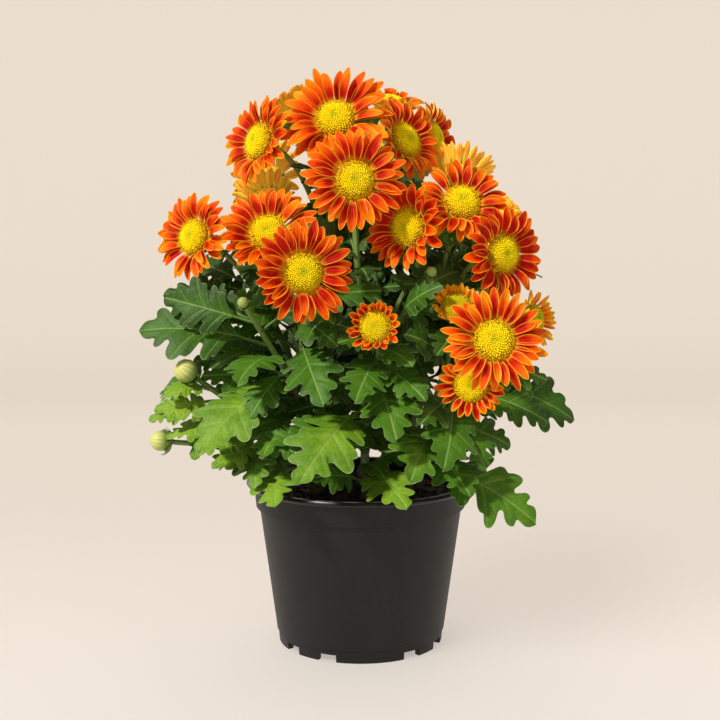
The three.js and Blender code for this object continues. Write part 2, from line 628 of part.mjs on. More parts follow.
// Assembly.
const nodes = {};
const roots = Object.values(STEMS).map((stem) => stem.root);
nodes.pot = [makePot(), 'pot'];
nodes.soil = [makeSoil(roots), 'soil'];
Object.entries(BLOOMS).forEach(([key, head], i) => {
  nodes[`bloom_${key.slice(1)}_petals`] = [makePetals(head, i + 1), 'petals'];
  nodes[`bloom_${key.slice(1)}_disc`] = [makeDisc(head, i + 1), 'disc'];
});
for (const [name, stem] of Object.entries(STEMS)) {
  let solid = makeStalk(stem.leader, true);
  for (const [key, head] of Object.entries(HEADS)) {
    if (head.on === name && key !== stem.leader) solid = solid.add(makeStalk(key, false));
  }
  nodes[`stem_${name}`] = [solid, 'stem'];
}
const placed = Object.values(nodes).map(([solid]) => ({ solid, box: boxOf(solid) }));
const leaves = [];
for (const asked of askedLeaves()) {
  const isCrowded = !asked.isPlaced && leaves.some((l) => l.tip.distanceTo(asked.tip) < LEAF_SPACING);
  const leaf = leaves.length < LEAF_MOST && !isCrowded ? clearLeaf(asked, placed) : null;
  if (!leaf) continue;
  leaves.push(leaf);
  const solid = makeLeaf(leaf);
  placed.push({ solid, box: boxOf(solid) });
  const node = nodes[`stem_${PATHS[leaf.path].stem}`];
  node[0] = node[0].add(solid);
}

const group = new THREE.Group();
for (const [name, [solid, colour]] of Object.entries(nodes)) {
  const [color, roughness] = COLOURS[colour];
  const mesh = new THREE.Mesh(geometryOf(solid), new THREE.MeshStandardMaterial({ color, roughness }));
  mesh.name = name;
  group.add(mesh);
}

export default group;
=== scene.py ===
"""The looks of the potted garden chrysanthemum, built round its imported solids.

Shapes are worked out in millimetres in the part's own frame, +Z up with the plant's front towards -Y, and
become metres when a mesh is made. Every bloom, bud and stem stands where its solid stands, and so does every
leaf that the solids hold. The smaller leaves between those are in the looks alone.
"""

import logging
import math
from dataclasses import dataclass, field, replace
from enum import Enum

import bmesh
import bpy
import numpy as np
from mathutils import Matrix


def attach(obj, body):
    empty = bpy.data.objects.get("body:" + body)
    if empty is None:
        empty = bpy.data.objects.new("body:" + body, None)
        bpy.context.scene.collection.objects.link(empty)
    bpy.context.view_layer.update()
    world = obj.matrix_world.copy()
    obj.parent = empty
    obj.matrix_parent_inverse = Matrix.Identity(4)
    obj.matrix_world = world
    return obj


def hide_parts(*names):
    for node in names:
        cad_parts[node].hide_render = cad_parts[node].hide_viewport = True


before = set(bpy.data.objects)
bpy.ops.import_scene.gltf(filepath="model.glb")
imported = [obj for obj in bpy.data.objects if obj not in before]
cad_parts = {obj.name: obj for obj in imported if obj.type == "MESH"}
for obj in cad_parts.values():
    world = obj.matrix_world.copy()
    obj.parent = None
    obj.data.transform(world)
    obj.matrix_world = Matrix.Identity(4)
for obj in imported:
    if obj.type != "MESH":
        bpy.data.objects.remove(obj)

log = logging.getLogger("chrysanthemum")
MM = 0.001
BODY = "root"
UP = np.array([0.0, 0.0, 1.0])
FRONT = np.array([0.0, -1.0, 0.0])

# Sizes in millimetres, and shares of a length, that the solids are built from too.
COLLAR_Z = 95.0
ROOT_Z = 71.0
GAP = 0.3
DISC_R = 11.0
DISC_H = 5.4
DRUM_FOOT = -5.0
CALYX_H = 6.5
STEM_R = 2.4
STALK_R = 1.5
NECK = 30.0
STEM_REACH = 0.4
STALK_REACH = 0.35
STEM_STEPS = 8
STALK_STEPS = 3
SMALL = 0.82
LEAF_FOLD = 0.2
LEAF_CURL = 0.7
LEAF_ARCH = 0.44
LEAF_LIGHT = 0.7
FACE_FRONT = 1.2

STEMS = {
    "front": ((3, -27), "b04"),
    "top_left": ((-13, 3), "b01"),
    "top_right": ((15, 5), "b05"),
    "left": ((-29, -16), "b13"),
    "right": ((30, -12), "b09"),
    "low_right": ((27, -38), "b18"),
    "back": ((2, 34), "b24"),
    "low_left": ((-42, -32), "u3"),
}

# Leaves placed one by one on the plant's front: stalk, height of the foot, tip, blade length, roll, and how
# light a green they are.
PLACED_LEAVES = [
    ("u1", 185, (-126, -46, 196), 58, 0, 0.32),
    ("u1", 165, (-89, -78, 130), 58, 0, 0.78),
    ("u1", 178, (-67, -82, 169), 44, 0, 0.5),
    ("u1", 200, (-109, -30, 208), 44, -20, 0.22),
    ("b12", 200, (-118, -8, 214), 46, 0, 0.15),
    ("u3", 150, (-99, -44, 121), 36, 0, 0.8),
    ("b14", 185, (-28, -88, 159), 50, 0, 0.38),
    ("b14", 200, (-13, -80, 190), 38, 0, 0.3),
    ("b16", 178, (-3, -94, 161), 38, 0, 0.45),
    ("b16", 165, (19, -96, 141), 50, 0, 0.55),
    ("b16", 150, (-33, -102, 119), 60, 0, 0.74),
    ("b16", 143, (-40, -84, 156), 44, 0, 0.5),
    ("b04", 107, (25, -86, 102), 46, 0, 0.85),
    ("b04", 102, (-8, -86, 107), 42, 0, 0.4),
    ("b18", 138, (27, -92, 118), 52, 0, 0.7),
    ("u4", 122, (-59, -72, 111), 38, 0, 0.75),
    ("u3", 112, (-47, -84, 101), 46, 0, 0.85),
    ("b20", 150, (45, -90, 124), 48, 0, 0.45),
    ("b20", 145, (74, -80, 133), 38, 0, 0.4),
    ("b19", 140, (95, -56, 112), 48, 0, 0.35),
    ("b19", 165, (127, -24, 140), 56, 0, 0.3),
    ("b19", 158, (108, -46, 143), 42, 0, 0.35),
    ("b18", 118, (99, -66, 89), 60, 0, 0.6),
    ("b20", 125, (60, -84, 107), 44, 0, 0.5),
    ("b19", 172, (109, -22, 165), 34, 0, 0.3),
    ("b16", 182, (22, -88, 180), 30, 0, 0.45),
    ("b16", 173, (24, -92, 168), 32, 0, 0.45),
    ("b16", 160, (21, -90, 158), 28, 0, 0.5),
    ("b16", 190, (-12, -84, 192), 24, 0, 0.35),
    ("b17", 172, (18, -84, 173), 42, 0, 0.3),
    ("b18", 150, (33, -84, 148), 34, 0, 0.3),
    ("b17", 192, (38, -70, 184), 28, 0, 0.3),
    ("b14", 208, (-15, -80, 202), 30, 0, 0.3),
    ("b04", 113, (13, -60, 108), 30, 0, 0.5),
    ("b04", 135, (19, -60, 122), 34, 150, 0.9),
    ("u3", 152, (-121, -48, 143), 28, 0, 0.85),
    ("u4", 112, (-66, -58, 108), 34, 0, 0.7),
    ("u1", 140, (-54, -78, 129), 48, 0, 0.6),
    ("b11", 185, (10, -62, 214), 34, 0, 0.3),
    ("u2", 200, (52, -62, 218), 30, 0, 0.3),
    ("b04", 215, (-22, -58, 226), 36, 0, 0.25),
    ("b10", 180, (82, -52, 196), 38, 0, 0.3),
    ("b13", 195, (-62, -62, 190), 36, 0, 0.35),
    ("b12", 178, (-84, -52, 184), 40, 0, 0.35),
    ("b10", 150, (72, -48, 168), 40, 0, 0.3),
]

# The first counters of the leaves listed one by one, of the solids and of the looks alone.
PLACED_FIRST = 500.0
SMALL_FIRST = 700.0

# Counters of the placed leaves whose lobes are webbed.
BROAD_LEAVES = (501.0, 517.0, 525.0)

# Small leaves that only the looks hold, given like the placed ones.
SMALL_LEAVES = [
    ("u3", 160, (-112, -50, 158), 26, 0, 0.92),
    ("u3", 140, (-118, -46, 150), 32, 0, 0.9),
    ("u3", 135, (-111, -50, 134), 32, 20, 0.95),
    ("u3", 132, (-94, -54, 126), 34, 0, 0.85),
    ("u3", 125, (-84, -60, 118), 34, 0, 0.85),
    ("u4", 115, (-76, -60, 118), 30, 0, 0.9),
    ("u3", 118, (-60, -56, 111), 34, 0, 0.85),
    ("u1", 150, (-75, -50, 160), 36, 0, 0.5),
    ("u1", 160, (-92, -40, 168), 36, 0, 0.45),
    ("b12", 165, (-98, -30, 176), 36, 0, 0.35),
    ("b12", 150, (-84, -36, 160), 36, 0, 0.4),
    ("b13", 150, (-60, -56, 150), 34, 0, 0.4),
    ("b04", 125, (-40, -66, 140), 34, 0, 0.4),
    ("u1", 135, (-62, -60, 140), 30, 0, 0.6),
    ("b04", 236, (-17, -66, 238), 24, 0, 0.2),
    ("b04", 226, (4, -72, 226), 26, 0, 0.15),
    ("b14", 175, (-62, -70, 148), 34, 0, 0.4),
    ("b16", 140, (-56, -74, 128), 32, 0, 0.6),
    ("b13", 160, (-70, -38, 170), 34, 0, 0.2),
    ("b13", 172, (-22, -40, 186), 34, 0, 0.2),
    ("b04", 150, (-42, -36, 146), 38, 0, 0.25),
    ("b14", 150, (-58, -34, 138), 34, 0, 0.3),
    ("b09", 226, (78, -18, 244), 32, 0, 0.15),
]

# Bends that may have brought a leaf clear: turn and tilt in degrees, share of the length kept.
BENDS = [
    (0, 0, 1), (8, 0, 1), (-8, 0, 1), (0, 9, 1), (0, -9, 1), (14, 6, 1), (-14, 6, 1), (14, -8, 1),
    (-14, -8, 1), (0, 18, 0.95), (0, -18, 0.95), (22, 0, 0.9), (-22, 0, 0.9), (20, 16, 0.9),
    (-20, 16, 0.9), (20, -16, 0.9), (-20, -16, 0.9), (0, 28, 0.85), (0, -28, 0.85), (32, 8, 0.8),
    (-32, 8, 0.8), (0, 0, 0.75), (0, 12, 0.7),
]


def mix(a: float, b: float, t: float) -> float:
    """Blend from a to b."""
    return a + (b - a) * t


def wobble(n: float) -> float:
    """Give a repeatable number from 0 to 1 for each counter."""
    x = math.sin(n * 12.9898) * 43758.5453
    return x - math.floor(x)


def stray(most: float, n: float) -> float:
    """Give a repeatable number from -most to most."""
    return mix(-most, most, wobble(n))


def unit(v: np.ndarray) -> np.ndarray:
    """Give the vector's direction."""
    return v / np.linalg.norm(v)


def smooth(low: float, high: float, x: np.ndarray) -> np.ndarray:
    """Rise smoothly from 0 at low to 1 at high."""
    t = np.clip((x - low) / (high - low), 0.0, 1.0)
    return t * t * (3 - 2 * t)


def heading(turn: float, tilt: float) -> np.ndarray:
    """Give a direction.

    Args:
        turn: Degrees round from the front towards +X.
        tilt: Degrees up from level.

    Returns:
        A unit vector.
    """
    a, e = math.radians(turn), math.radians(tilt)
    return np.array([math.cos(e) * math.sin(a), -math.cos(e) * math.cos(a), math.sin(e)])


def turned(v: np.ndarray, axis: np.ndarray, degrees: float) -> np.ndarray:
    """Turn a vector by the right-hand rule.

    Args:
        v: The vector.
        axis: The unit vector to turn it about.
        degrees: How far.

    Returns:
        The turned vector.
    """
    a = math.radians(degrees)
    spun = v * math.cos(a) + np.cross(axis, v) * math.sin(a)
    return spun + axis * (axis @ v) * (1 - math.cos(a))


@dataclass(frozen=True)
class Head:
    """What ends a stem or stalk: a bloom, or a bud if it has no cup.

    Attributes:
        on: The stem it belongs to.
        fork: The height where its stalk forks off, 0 for a stem's own end.
        at: The top of the disc, or the bud's tip.
        faces: The way it points, as turn and tilt in degrees.
        r: The petals' spread from the axis, or the bud's radius.
        cup: How far the petals are cupped up, in degrees.
        small: Whether it is a young, smaller bloom.
        petals: How many petals it has.
        rim: The width of the petals' yellow margin.
        heat: How red it is: 1 for deep red, 0 for orange, and less for gold.
        curl: The side its petals curl up on, as an angle round its axis, and by how many degrees.
        wide: The petals' width against the common one.
        disc: The disc's size against the common one.
        green: How unripe the disc is, from 0 to 1.
        trim: The petals' length against the solid's.
    """

    on: str
    fork: float
    at: tuple[float, float, float]
    faces: tuple[float, float]
    r: float
    cup: float | None = None
    small: bool = False
    petals: int = 31
    rim: float = 0.32
    heat: float = 0.5
    curl: tuple[float, float] = (0.0, 0.0)
    wide: float = 1.0
    disc: float = 1.0
    green: float = 0.0
    trim: float = 1.0

    @property
    def size(self) -> float:
        """Give the scale of the disc and petal roots."""
        return SMALL if self.small else 1.0

    @property
    def axis(self) -> np.ndarray:
        """Give the direction it points."""
        return heading(*self.faces)

    def neck(self) -> np.ndarray:
        """Give the point where its stalk ends."""
        depth = 2 * self.r
        if self.cup is not None:
            depth = DISC_H + GAP - DRUM_FOOT * self.size + GAP + CALYX_H
        return np.array(self.at, float) - self.axis * depth

    def place(self, r: np.ndarray, a: np.ndarray, h: np.ndarray) -> np.ndarray:
        """Give points from the bloom's own round coordinates.

        Args:
            r: Distances from its axis.
            a: Angles round it, 0 to its side and a quarter turn to its top.
            h: Heights over the plane that the petals leave.

        Returns:
            Points in the part's frame, one more axis than the inputs.
        """
        across = unit(np.cross(UP, self.axis))
        upward = np.cross(self.axis, across)
        origin = np.array(self.at, float) - self.axis * (DISC_H + GAP)
        r, a, h = np.broadcast_arrays(r, a, h)
        return (
            origin
            + (r * np.cos(a))[..., None] * across
            + (r * np.sin(a))[..., None] * upward
            + h[..., None] * self.axis
        )


HEADS = {
    "b01": Head(
        "top_left", 0, (-15, -38, 317), (-10, 28), 32.5, 6, petals=35, heat=0.42, curl=(1.57, 12), wide=1.12,
        disc=1.1,
    ),
    "b02": Head("top_left", 175, (-62, -27, 304), (-45, 15), 27, 8, petals=35, heat=0.5),
    "b03": Head("top_left", 200, (-47, 18, 324), (-120, 50), 25, 10, heat=0.5),
    "b04": Head("front", 0, (-3, -70, 280), (3, 8), 28.5, 4, petals=36, heat=0.6, wide=0.95),
    "b05": Head("top_right", 0, (19, 18, 333), (20, 68), 22, 10, heat=0.6, curl=(4.71, 28)),
    "b06": Head("top_right", 185, (29, -15, 306), (40, 20), 25, 10, petals=34, heat=0.65),
    "b07": Head("top_right", 210, (50, 34, 310), (62, 12), 24, 10, heat=0.6),
    "b08": Head("top_right", 165, (61, 8, 289), (160, 50), 24, 40, heat=0.3, wide=0.82),
    "b09": Head("right", 0, (58, -42, 270), (5, 30), 27, 8, petals=34, heat=0.55, rim=0.42),
    "b10": Head("right", 125, (82, -58, 239), (32, 2), 27, 4, petals=34, heat=0.85),
    "b11": Head("front", 145, (24, -60, 254), (-35, 5), 26, 22, heat=0.7),
    "b12": Head("left", 135, (-100, -26, 249), (-35, 15), 27, 8, petals=35, heat=0.5),
    "b13": Head("left", 0, (-53, -52, 253), (-10, 30), 29, 8, petals=35, heat=0.5, curl=(3.9, 22), rim=0.42),
    "b14": Head(
        "left", 122, (-30, -92, 230), (10, 5), 28, 4, petals=38, heat=0.75, curl=(3.6, 14), wide=0.95,
    ),
    "b15": Head("left", 165, (-59, 10, 274), (-160, 45), 25, 36, heat=0.3, wide=0.85, trim=0.88),
    "b16": Head(
        "front", 118, (7, -88, 201), (-10, 10), 17, 48, small=True, petals=25, heat=0.6, rim=0.5, green=0.2,
    ),
    "b17": Head(
        "low_right", 118, (53, -62, 212), (-5, 35), 16, 52, small=True, petals=27, heat=-0.5, rim=0.7,
        wide=0.85, green=0.5,
    ),
    "b18": Head(
        "low_right", 0, (72, -88, 194), (0, 15), 28.5, 6, petals=38, heat=0.5, rim=0.45, wide=0.92,
        disc=1.07,
    ),
    "b19": Head(
        "low_right", 112, (103, -44, 202), (50, 10), 18, 34, small=True, petals=26, heat=-0.15, rim=0.7,
        wide=0.9, green=0.6,
    ),
    "b20": Head(
        "low_right", 106, (60, -76, 167), (-10, 0), 20, 20, small=True, petals=28, heat=0.7, rim=0.6,
        wide=1.1, disc=1.1,
    ),
    "b21": Head("right", 145, (92, 4, 261), (110, 30), 25, 34, heat=0.6, trim=0.7),
    "b22": Head("back", 140, (-62, 58, 286), (-140, 25), 27, 8, heat=0.5),
    "b23": Head("back", 120, (-12, 94, 252), (-172, 10), 28, 8, heat=0.7),
    "b24": Head("back", 0, (28, 70, 306), (165, 32), 28, 6, heat=0.5),
    "b25": Head("back", 118, (80, 52, 226), (125, 12), 27, 8, heat=0.6),
    "u1": Head("left", 118, (-66, -66, 214), (-20, 40), 3.2),
    "u2": Head("front", 160, (40, -60, 231), (20, 50), 3),
    "u3": Head("low_left", 0, (-105, -44, 175), (-50, 35), 7),
    "u4": Head("low_left", 108, (-121, -46, 132), (-70, 10), 6),
}


@dataclass(frozen=True)
class Path:
    """A stem's or stalk's curve, and the straight stretches its solid is built of.

    Attributes:
        stem: The stem it belongs to.
        handles: The curve's four control points.
        steps: How many straight stretches its solid has.
    """

    stem: str
    handles: tuple[np.ndarray, np.ndarray, np.ndarray, np.ndarray]
    steps: int

    def point(self, t: float) -> np.ndarray:
        """Give the smooth curve's point at a share of its length."""
        a, b, c, d = self.handles
        s = 1 - t
        return a * s**3 + b * 3 * s * s * t + c * 3 * s * t * t + d * t**3

    def tangent(self, t: float) -> np.ndarray:
        """Give the smooth curve's direction."""
        a, b, c, d = self.handles
        s = 1 - t
        return unit((b - a) * s * s + (c - b) * 2 * s * t + (d - c) * t * t)

    def built(self, t: float) -> np.ndarray:
        """Give the point on the solid's straight stretches."""
        i = min(math.floor(t * self.steps), self.steps - 1)
        part = t * self.steps - i
        return self.point(i / self.steps) * (1 - part) + self.point((i + 1) / self.steps) * part

    def share_at_height(self, z: float) -> float:
        """Find where the built stem reaches a height.

        Args:
            z: The height.

        Returns:
            The share of its length.
        """
        low, high = 0.0, 1.0
        for _ in range(24):
            t = (low + high) / 2
            if self.built(t)[2] < z:
                low = t
            else:
                high = t
        return low


def curve_to(stem: str, start: np.ndarray, along: np.ndarray, head: Head, reach: float, steps: int) -> Path:
    """Lead a stem or stalk from its start into the neck of what it carries.

    Args:
        stem: The stem it belongs to.
        start: Where it starts.
        along: Its direction there.
        head: What it carries.
        reach: The first handle's length as a share of the span.
        steps: How many straight stretches its solid has.

    Returns:
        The path.
    """
    end = head.neck()
    span = float(np.linalg.norm(end - start))
    first = start + along * reach * span
    second = end - head.axis * min(NECK, STEM_REACH * span)
    return Path(stem, (start, first, second, end), steps)


def all_paths() -> dict[str, Path]:
    """Work out every stem and stalk, in the order that the solids are made."""
    paths: dict[str, Path] = {}
    for stem, (root, leader) in STEMS.items():
        start = np.array([*root, COLLAR_Z], float)
        main = curve_to(stem, start, UP, HEADS[leader], STEM_REACH, STEM_STEPS)
        paths[leader] = main
        for key, head in HEADS.items():
            if head.on != stem or key == leader:
                continue
            t = main.share_at_height(head.fork)
            paths[key] = curve_to(stem, main.built(t), main.tangent(t), head, STALK_REACH, STALK_STEPS)
    return paths


@dataclass(frozen=True)
class Leaf:
    """One leaf.

    Attributes:
        path: The stalk it leaves.
        base: Its foot.
        tip: Its tip.
        blade: Its blade's length.
        roll: Its roll about its length, in degrees.
        placed: Whether it was listed one by one to shape the front.
        seed: The counter of its own random draws.
        tone: How light a green it is, from 0 to 1, if that isn't left to its height.
    """

    path: str
    base: np.ndarray
    tip: np.ndarray
    blade: float
    roll: float
    placed: bool
    seed: float
    tone: float | None = None

    def bent(self, turn: float, tilt: float, share: float) -> "Leaf":
        """Bend the leaf about its foot.

        Args:
            turn: Degrees round.
            tilt: Degrees up.
            share: The share of its length that is kept.

        Returns:
            The bent leaf.
        """
        reach = self.tip - self.base
        across = unit(np.cross(reach, UP))
        reach = turned(turned(reach * share, across, tilt), UP, turn)
        return replace(self, tip=self.base + reach, blade=self.blade * share)


@dataclass(frozen=True)
class LeafRule:
    """How leaves grow along every stem and stalk, besides those listed one by one.

    Attributes:
        first: The number before the first leaf's counter.
        step: The distance between leaves along a stem.
        shift: How far each leaf is moved up from its place, as a share of the step.
        bare: How many of a stem's top places stay empty.
        height: How far over the collar the leaves get smaller and steeper.
        blades: A blade's length at the collar and at that height.
        spread: How far a blade's length strays, as a share.
        tilts: A leaf's tilt up from level at the collar and at that height, in degrees.
        sway: How far the tilt strays.
        reach: A leaf's length with its petiole, against its blade's.
        roll: How far a leaf rolls about its length, in degrees.
    """

    first: int
    step: float
    shift: float
    bare: int
    height: float
    blades: tuple[float, float]
    spread: float
    tilts: tuple[float, float]
    sway: float
    reach: float
    roll: float


@dataclass
class Foliage:
    """Finds where the solids' leaves are, and adds the smaller ones between them.

    Attributes:
        paths: Every stem and stalk.
        solid_rule: How the solids' leaves grow where none is listed one by one.
        fill_rule: How the leaves between them grow.
        golden: The turn from one leaf of a rule to the next, in degrees.
        match: How near a solid's corner has to be to a leaf's tip.
        side_x: How far the added leaves may reach to either side.
        front_y: How far they may reach to the front.
        back_y: How far they may reach to the back.
        low_z: How far down they may hang.
        room: How far they stay off a bloom's petals.
        room_h: The heights under and over a bloom's disc that they stay out of.
        tips: The corners of each stem's solid that were read so far.
    """

    paths: dict[str, Path]
    solid_rule: LeafRule = LeafRule(
        first=0, step=15.0, shift=0.0, bare=0, height=205.0, blades=(52, 24), spread=0.12, tilts=(2, 14),
        sway=12, reach=1.3, roll=0,
    )
    fill_rule: LeafRule = LeafRule(
        first=1000, step=9.0, shift=0.45, bare=1, height=200.0, blades=(44, 27), spread=0.15, tilts=(5, 30),
        sway=15, reach=1.25, roll=15,
    )
    golden: float = 137.5
    match: float = 0.05
    side_x: float = 108.0
    front_y: float = -58.0
    back_y: float = 92.0
    low_z: float = 97.0
    room: float = 2.0
    room_h: tuple[float, float] = (-5.0, 30.0)
    tips: dict[str, np.ndarray] = field(default_factory=dict)

    def placed(self, rows: list[tuple], first: float) -> list[Leaf]:
        """List leaves given one by one.

        Args:
            rows: Their rows, as in PLACED_LEAVES.
            first: The first one's counter.

        Returns:
            The leaves, unbent.
        """
        leaves = []
        for i, (key, z, tip, blade, roll, tone) in enumerate(rows):
            path = self.paths[key]
            base = path.built(path.share_at_height(z))
            leaves.append(Leaf(key, base, np.array(tip, float), blade, roll, True, first + i, tone))
        return leaves

    def grown(self, rule: LeafRule) -> list[Leaf]:
        """Let leaves grow along every stem and stalk.

        Args:
            rule: How they grow.

        Returns:
            The leaves, unbent.
        """
        leaves = []
        count = rule.first
        for key, path in self.paths.items():
            span = float(np.linalg.norm(path.handles[3] - path.handles[0]))
            places = math.floor(span / rule.step)
            for i in range(1, places - rule.bare):
                count += 1
                base = path.built((i + rule.shift) / places)
                high = min(max((base[2] - COLLAR_Z) / rule.height, 0), 1)
                blade = mix(*rule.blades, high) * (1 + stray(rule.spread, count))
                way = heading(count * self.golden, mix(*rule.tilts, high) + stray(rule.sway, count + 0.5))
                tip = base + way * blade * rule.reach
                roll = stray(rule.roll, count + 0.7)
                leaves.append(Leaf(key, base, tip, blade, roll, False, float(count)))
        return leaves

    def corners(self, stem: str) -> np.ndarray:
        """Read the corners of a stem's solid.

        Args:
            stem: The stem's name.

        Returns:
            The corners, in millimetres.
        """
        if stem not in self.tips:
            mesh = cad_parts[f"stem_{stem}"].data
            flat = np.zeros(len(mesh.vertices) * 3)
            mesh.vertices.foreach_get("co", flat)
            self.tips[stem] = flat.reshape(-1, 3) / MM
        return self.tips[stem]

    def built(self) -> list[Leaf]:
        """List the leaves that the solids hold, each as it was bent."""
        leaves = []
        for leaf in self.placed(PLACED_LEAVES, PLACED_FIRST) + self.grown(self.solid_rule):
            corners = self.corners(self.paths[leaf.path].stem)
            for bend in BENDS:
                tried = leaf.bent(*bend)
                if np.abs(corners - tried.tip).max(axis=1).min() < self.match:
                    leaves.append(tried)
                    break
        return leaves

    def added(self) -> list[Leaf]:
        """List the smaller leaves that fill the bush out, the rule's own clear of the blooms' faces."""
        grown = [leaf for leaf in self.grown(self.fill_rule) if self.is_free(leaf)]
        return self.placed(SMALL_LEAVES, SMALL_FIRST) + grown

    def is_free(self, leaf: Leaf) -> bool:
        """Tell whether a leaf has room.

        Args:
            leaf: The leaf.

        Returns:
            True if it stays off the blooms and inside the plant's reach.
        """
        points = leaf.base + (leaf.tip - leaf.base) * np.linspace(0.35, 1, 5)[:, None]
        x, y, z = points.T
        if np.abs(x).max() > self.side_x or z.min() < self.low_z:
            return False
        if y.max() > self.back_y or y.min() < self.front_y:
            return False
        low, high = self.room_h
        for head in HEADS.values():
            if head.cup is None:
                continue
            origin = np.array(head.at, float) - head.axis * DISC_H
            away = points - origin
            h = away @ head.axis
            r = np.linalg.norm(away - h[:, None] * head.axis, axis=1)
            if np.any((r < head.r + self.room) & (h > low) & (h < high)):
                return False
        return True


class Side(Enum):
    """Which side of a blade a face belongs to."""

    BACK = 0.0
    FACE = 1.0


@dataclass
class Skin:
    """Gathers sheets and tubes and makes them one mesh object.

    Attributes:
        channels: The names of the values that each corner carries for its finish.
        points: The points gathered so far, grid by grid.
        faces: The faces between them, by the points' numbers.
        values: Each channel's value at every point.
        count: How many points there are.
        weld: Points this near to each other become one.
    """

    channels: tuple[str, ...]
    points: list[np.ndarray] = field(default_factory=list)
    faces: list[np.ndarray] = field(default_factory=list)
    values: dict[str, list[np.ndarray]] = field(default_factory=dict)
    count: int = 0
    weld: float = 0.002

    def grid(self, points: np.ndarray, closed: bool = False, flip: bool = False, **values: object) -> None:
        """Add a grid of points as faces.

        Args:
            points: Rows by columns of points, whose normal is row direction by column direction.
            closed: Whether the last column joins the first.
            flip: Whether the faces look the other way.
            **values: A number or a rows-by-columns array for each channel.
        """
        rows, cols = points.shape[:2]
        index = np.arange(rows * cols).reshape(rows, cols) + self.count
        if closed:
            index = np.concatenate([index, index[:, :1]], axis=1)
        quads = np.stack([index[:-1, :-1], index[1:, :-1], index[1:, 1:], index[:-1, 1:]], axis=-1)
        quads = quads.reshape(-1, 4)
        if flip:
            quads = quads[:, ::-1]
        self.points.append(points.reshape(-1, 3))
        self.faces.append(quads)
        for name in self.channels:
            value = np.broadcast_to(np.asarray(values.get(name, 0.0), float), (rows, cols))
            self.values.setdefault(name, []).append(value.reshape(-1))
        self.count += rows * cols

    def blade(self, top: np.ndarray, drop: np.ndarray, **values: object) -> None:
        """Add a thin blade from its upper face and its underside, which share their rim."""
        self.grid(top, **values, side=Side.FACE.value)
        self.grid(drop, flip=True, **values, side=Side.BACK.value)

    def tube(self, rings: np.ndarray, **values: object) -> None:
        """Add a closed tube with both ends drawn to a point.

        Args:
            rings: Rings by corners of points.
            **values: A number or a rings-by-corners array for each channel.
        """
        ends = [rings[:1].mean(axis=1, keepdims=True), rings[-1:].mean(axis=1, keepdims=True)]
        ends = [np.repeat(end, rings.shape[1], axis=1) for end in ends]
        spread = {}
        for name, value in values.items():
            value = np.broadcast_to(np.asarray(value, float), rings.shape[:2])
            spread[name] = np.concatenate([value[:1], value, value[-1:]])
        self.grid(np.concatenate([ends[0], rings, ends[1]]), closed=True, flip=True, **spread)

    def made(self, name: str, finish: bpy.types.Material, crease: float = 50.0) -> bpy.types.Object:
        """Make the mesh object, welded and smooth up to a crease.

        Args:
            name: The piece's name.
            finish: Its material.
            crease: The angle in degrees past which an edge stays sharp.

        Returns:
            The object, at the origin.
        """
        points = np.concatenate(self.points) * MM
        quads = np.concatenate(self.faces)
        mesh = bpy.data.meshes.new(name)
        mesh.from_pydata(points.tolist(), [], quads.tolist())
        for channel in self.channels:
            layer = mesh.attributes.new(channel, "FLOAT", "CORNER")
            spread = np.concatenate(self.values[channel])[quads.reshape(-1)]
            layer.data.foreach_set("value", spread.astype(np.float32))
        shape = bmesh.new()
        shape.from_mesh(mesh)
        bmesh.ops.remove_doubles(shape, verts=shape.verts, dist=self.weld * MM)
        bmesh.ops.dissolve_degenerate(shape, dist=self.weld / 2 * MM, edges=shape.edges)
        shape.to_mesh(mesh)
        shape.free()
        mesh.shade_smooth()
        mesh.set_sharp_from_angle(angle=math.radians(crease))
        mesh.materials.append(finish)
        piece = bpy.data.objects.new(name, mesh)
        bpy.context.scene.collection.objects.link(piece)
        return piece


@dataclass(frozen=True)
class Wire:
    """A shader value that Python's operators work on.

    Attributes:
        graph: The graph it belongs to.
        socket: The output it comes from.
    """

    graph: "Graph"
    socket: bpy.types.NodeSocket

    def maths(self, operation: str, *others: object) -> "Wire":
        """Apply a Math node to this value and others."""
        inputs = dict(enumerate([self, *others]))
        return self.graph.value("ShaderNodeMath", {"operation": operation}, inputs)

    def __add__(self, other: object) -> "Wire":
        """Add."""
        return self.maths("ADD", other)

    __radd__ = __add__

    def __sub__(self, other: object) -> "Wire":
        """Subtract."""
        return self.maths("SUBTRACT", other)

    def __rsub__(self, other: object) -> "Wire":
        """Subtract this from a number."""
        return self.graph.value("ShaderNodeMath", {"operation": "SUBTRACT"}, {0: other, 1: self})

    def __mul__(self, other: object) -> "Wire":
        """Multiply."""
        return self.maths("MULTIPLY", other)

    __rmul__ = __mul__

    def __truediv__(self, other: object) -> "Wire":
        """Divide."""
        return self.maths("DIVIDE", other)

    def __abs__(self) -> "Wire":
        """Drop the sign."""
        return self.maths("ABSOLUTE")

    def rises(self, low: float, high: float) -> "Wire":
        """Go smoothly from 0 at low to 1 at high."""
        settings = {"interpolation_type": "SMOOTHSTEP"}
        return self.graph.value("ShaderNodeMapRange", settings, {0: self, 1: low, 2: high, 3: 0.0, 4: 1.0})


Colour = tuple[float, float, float]


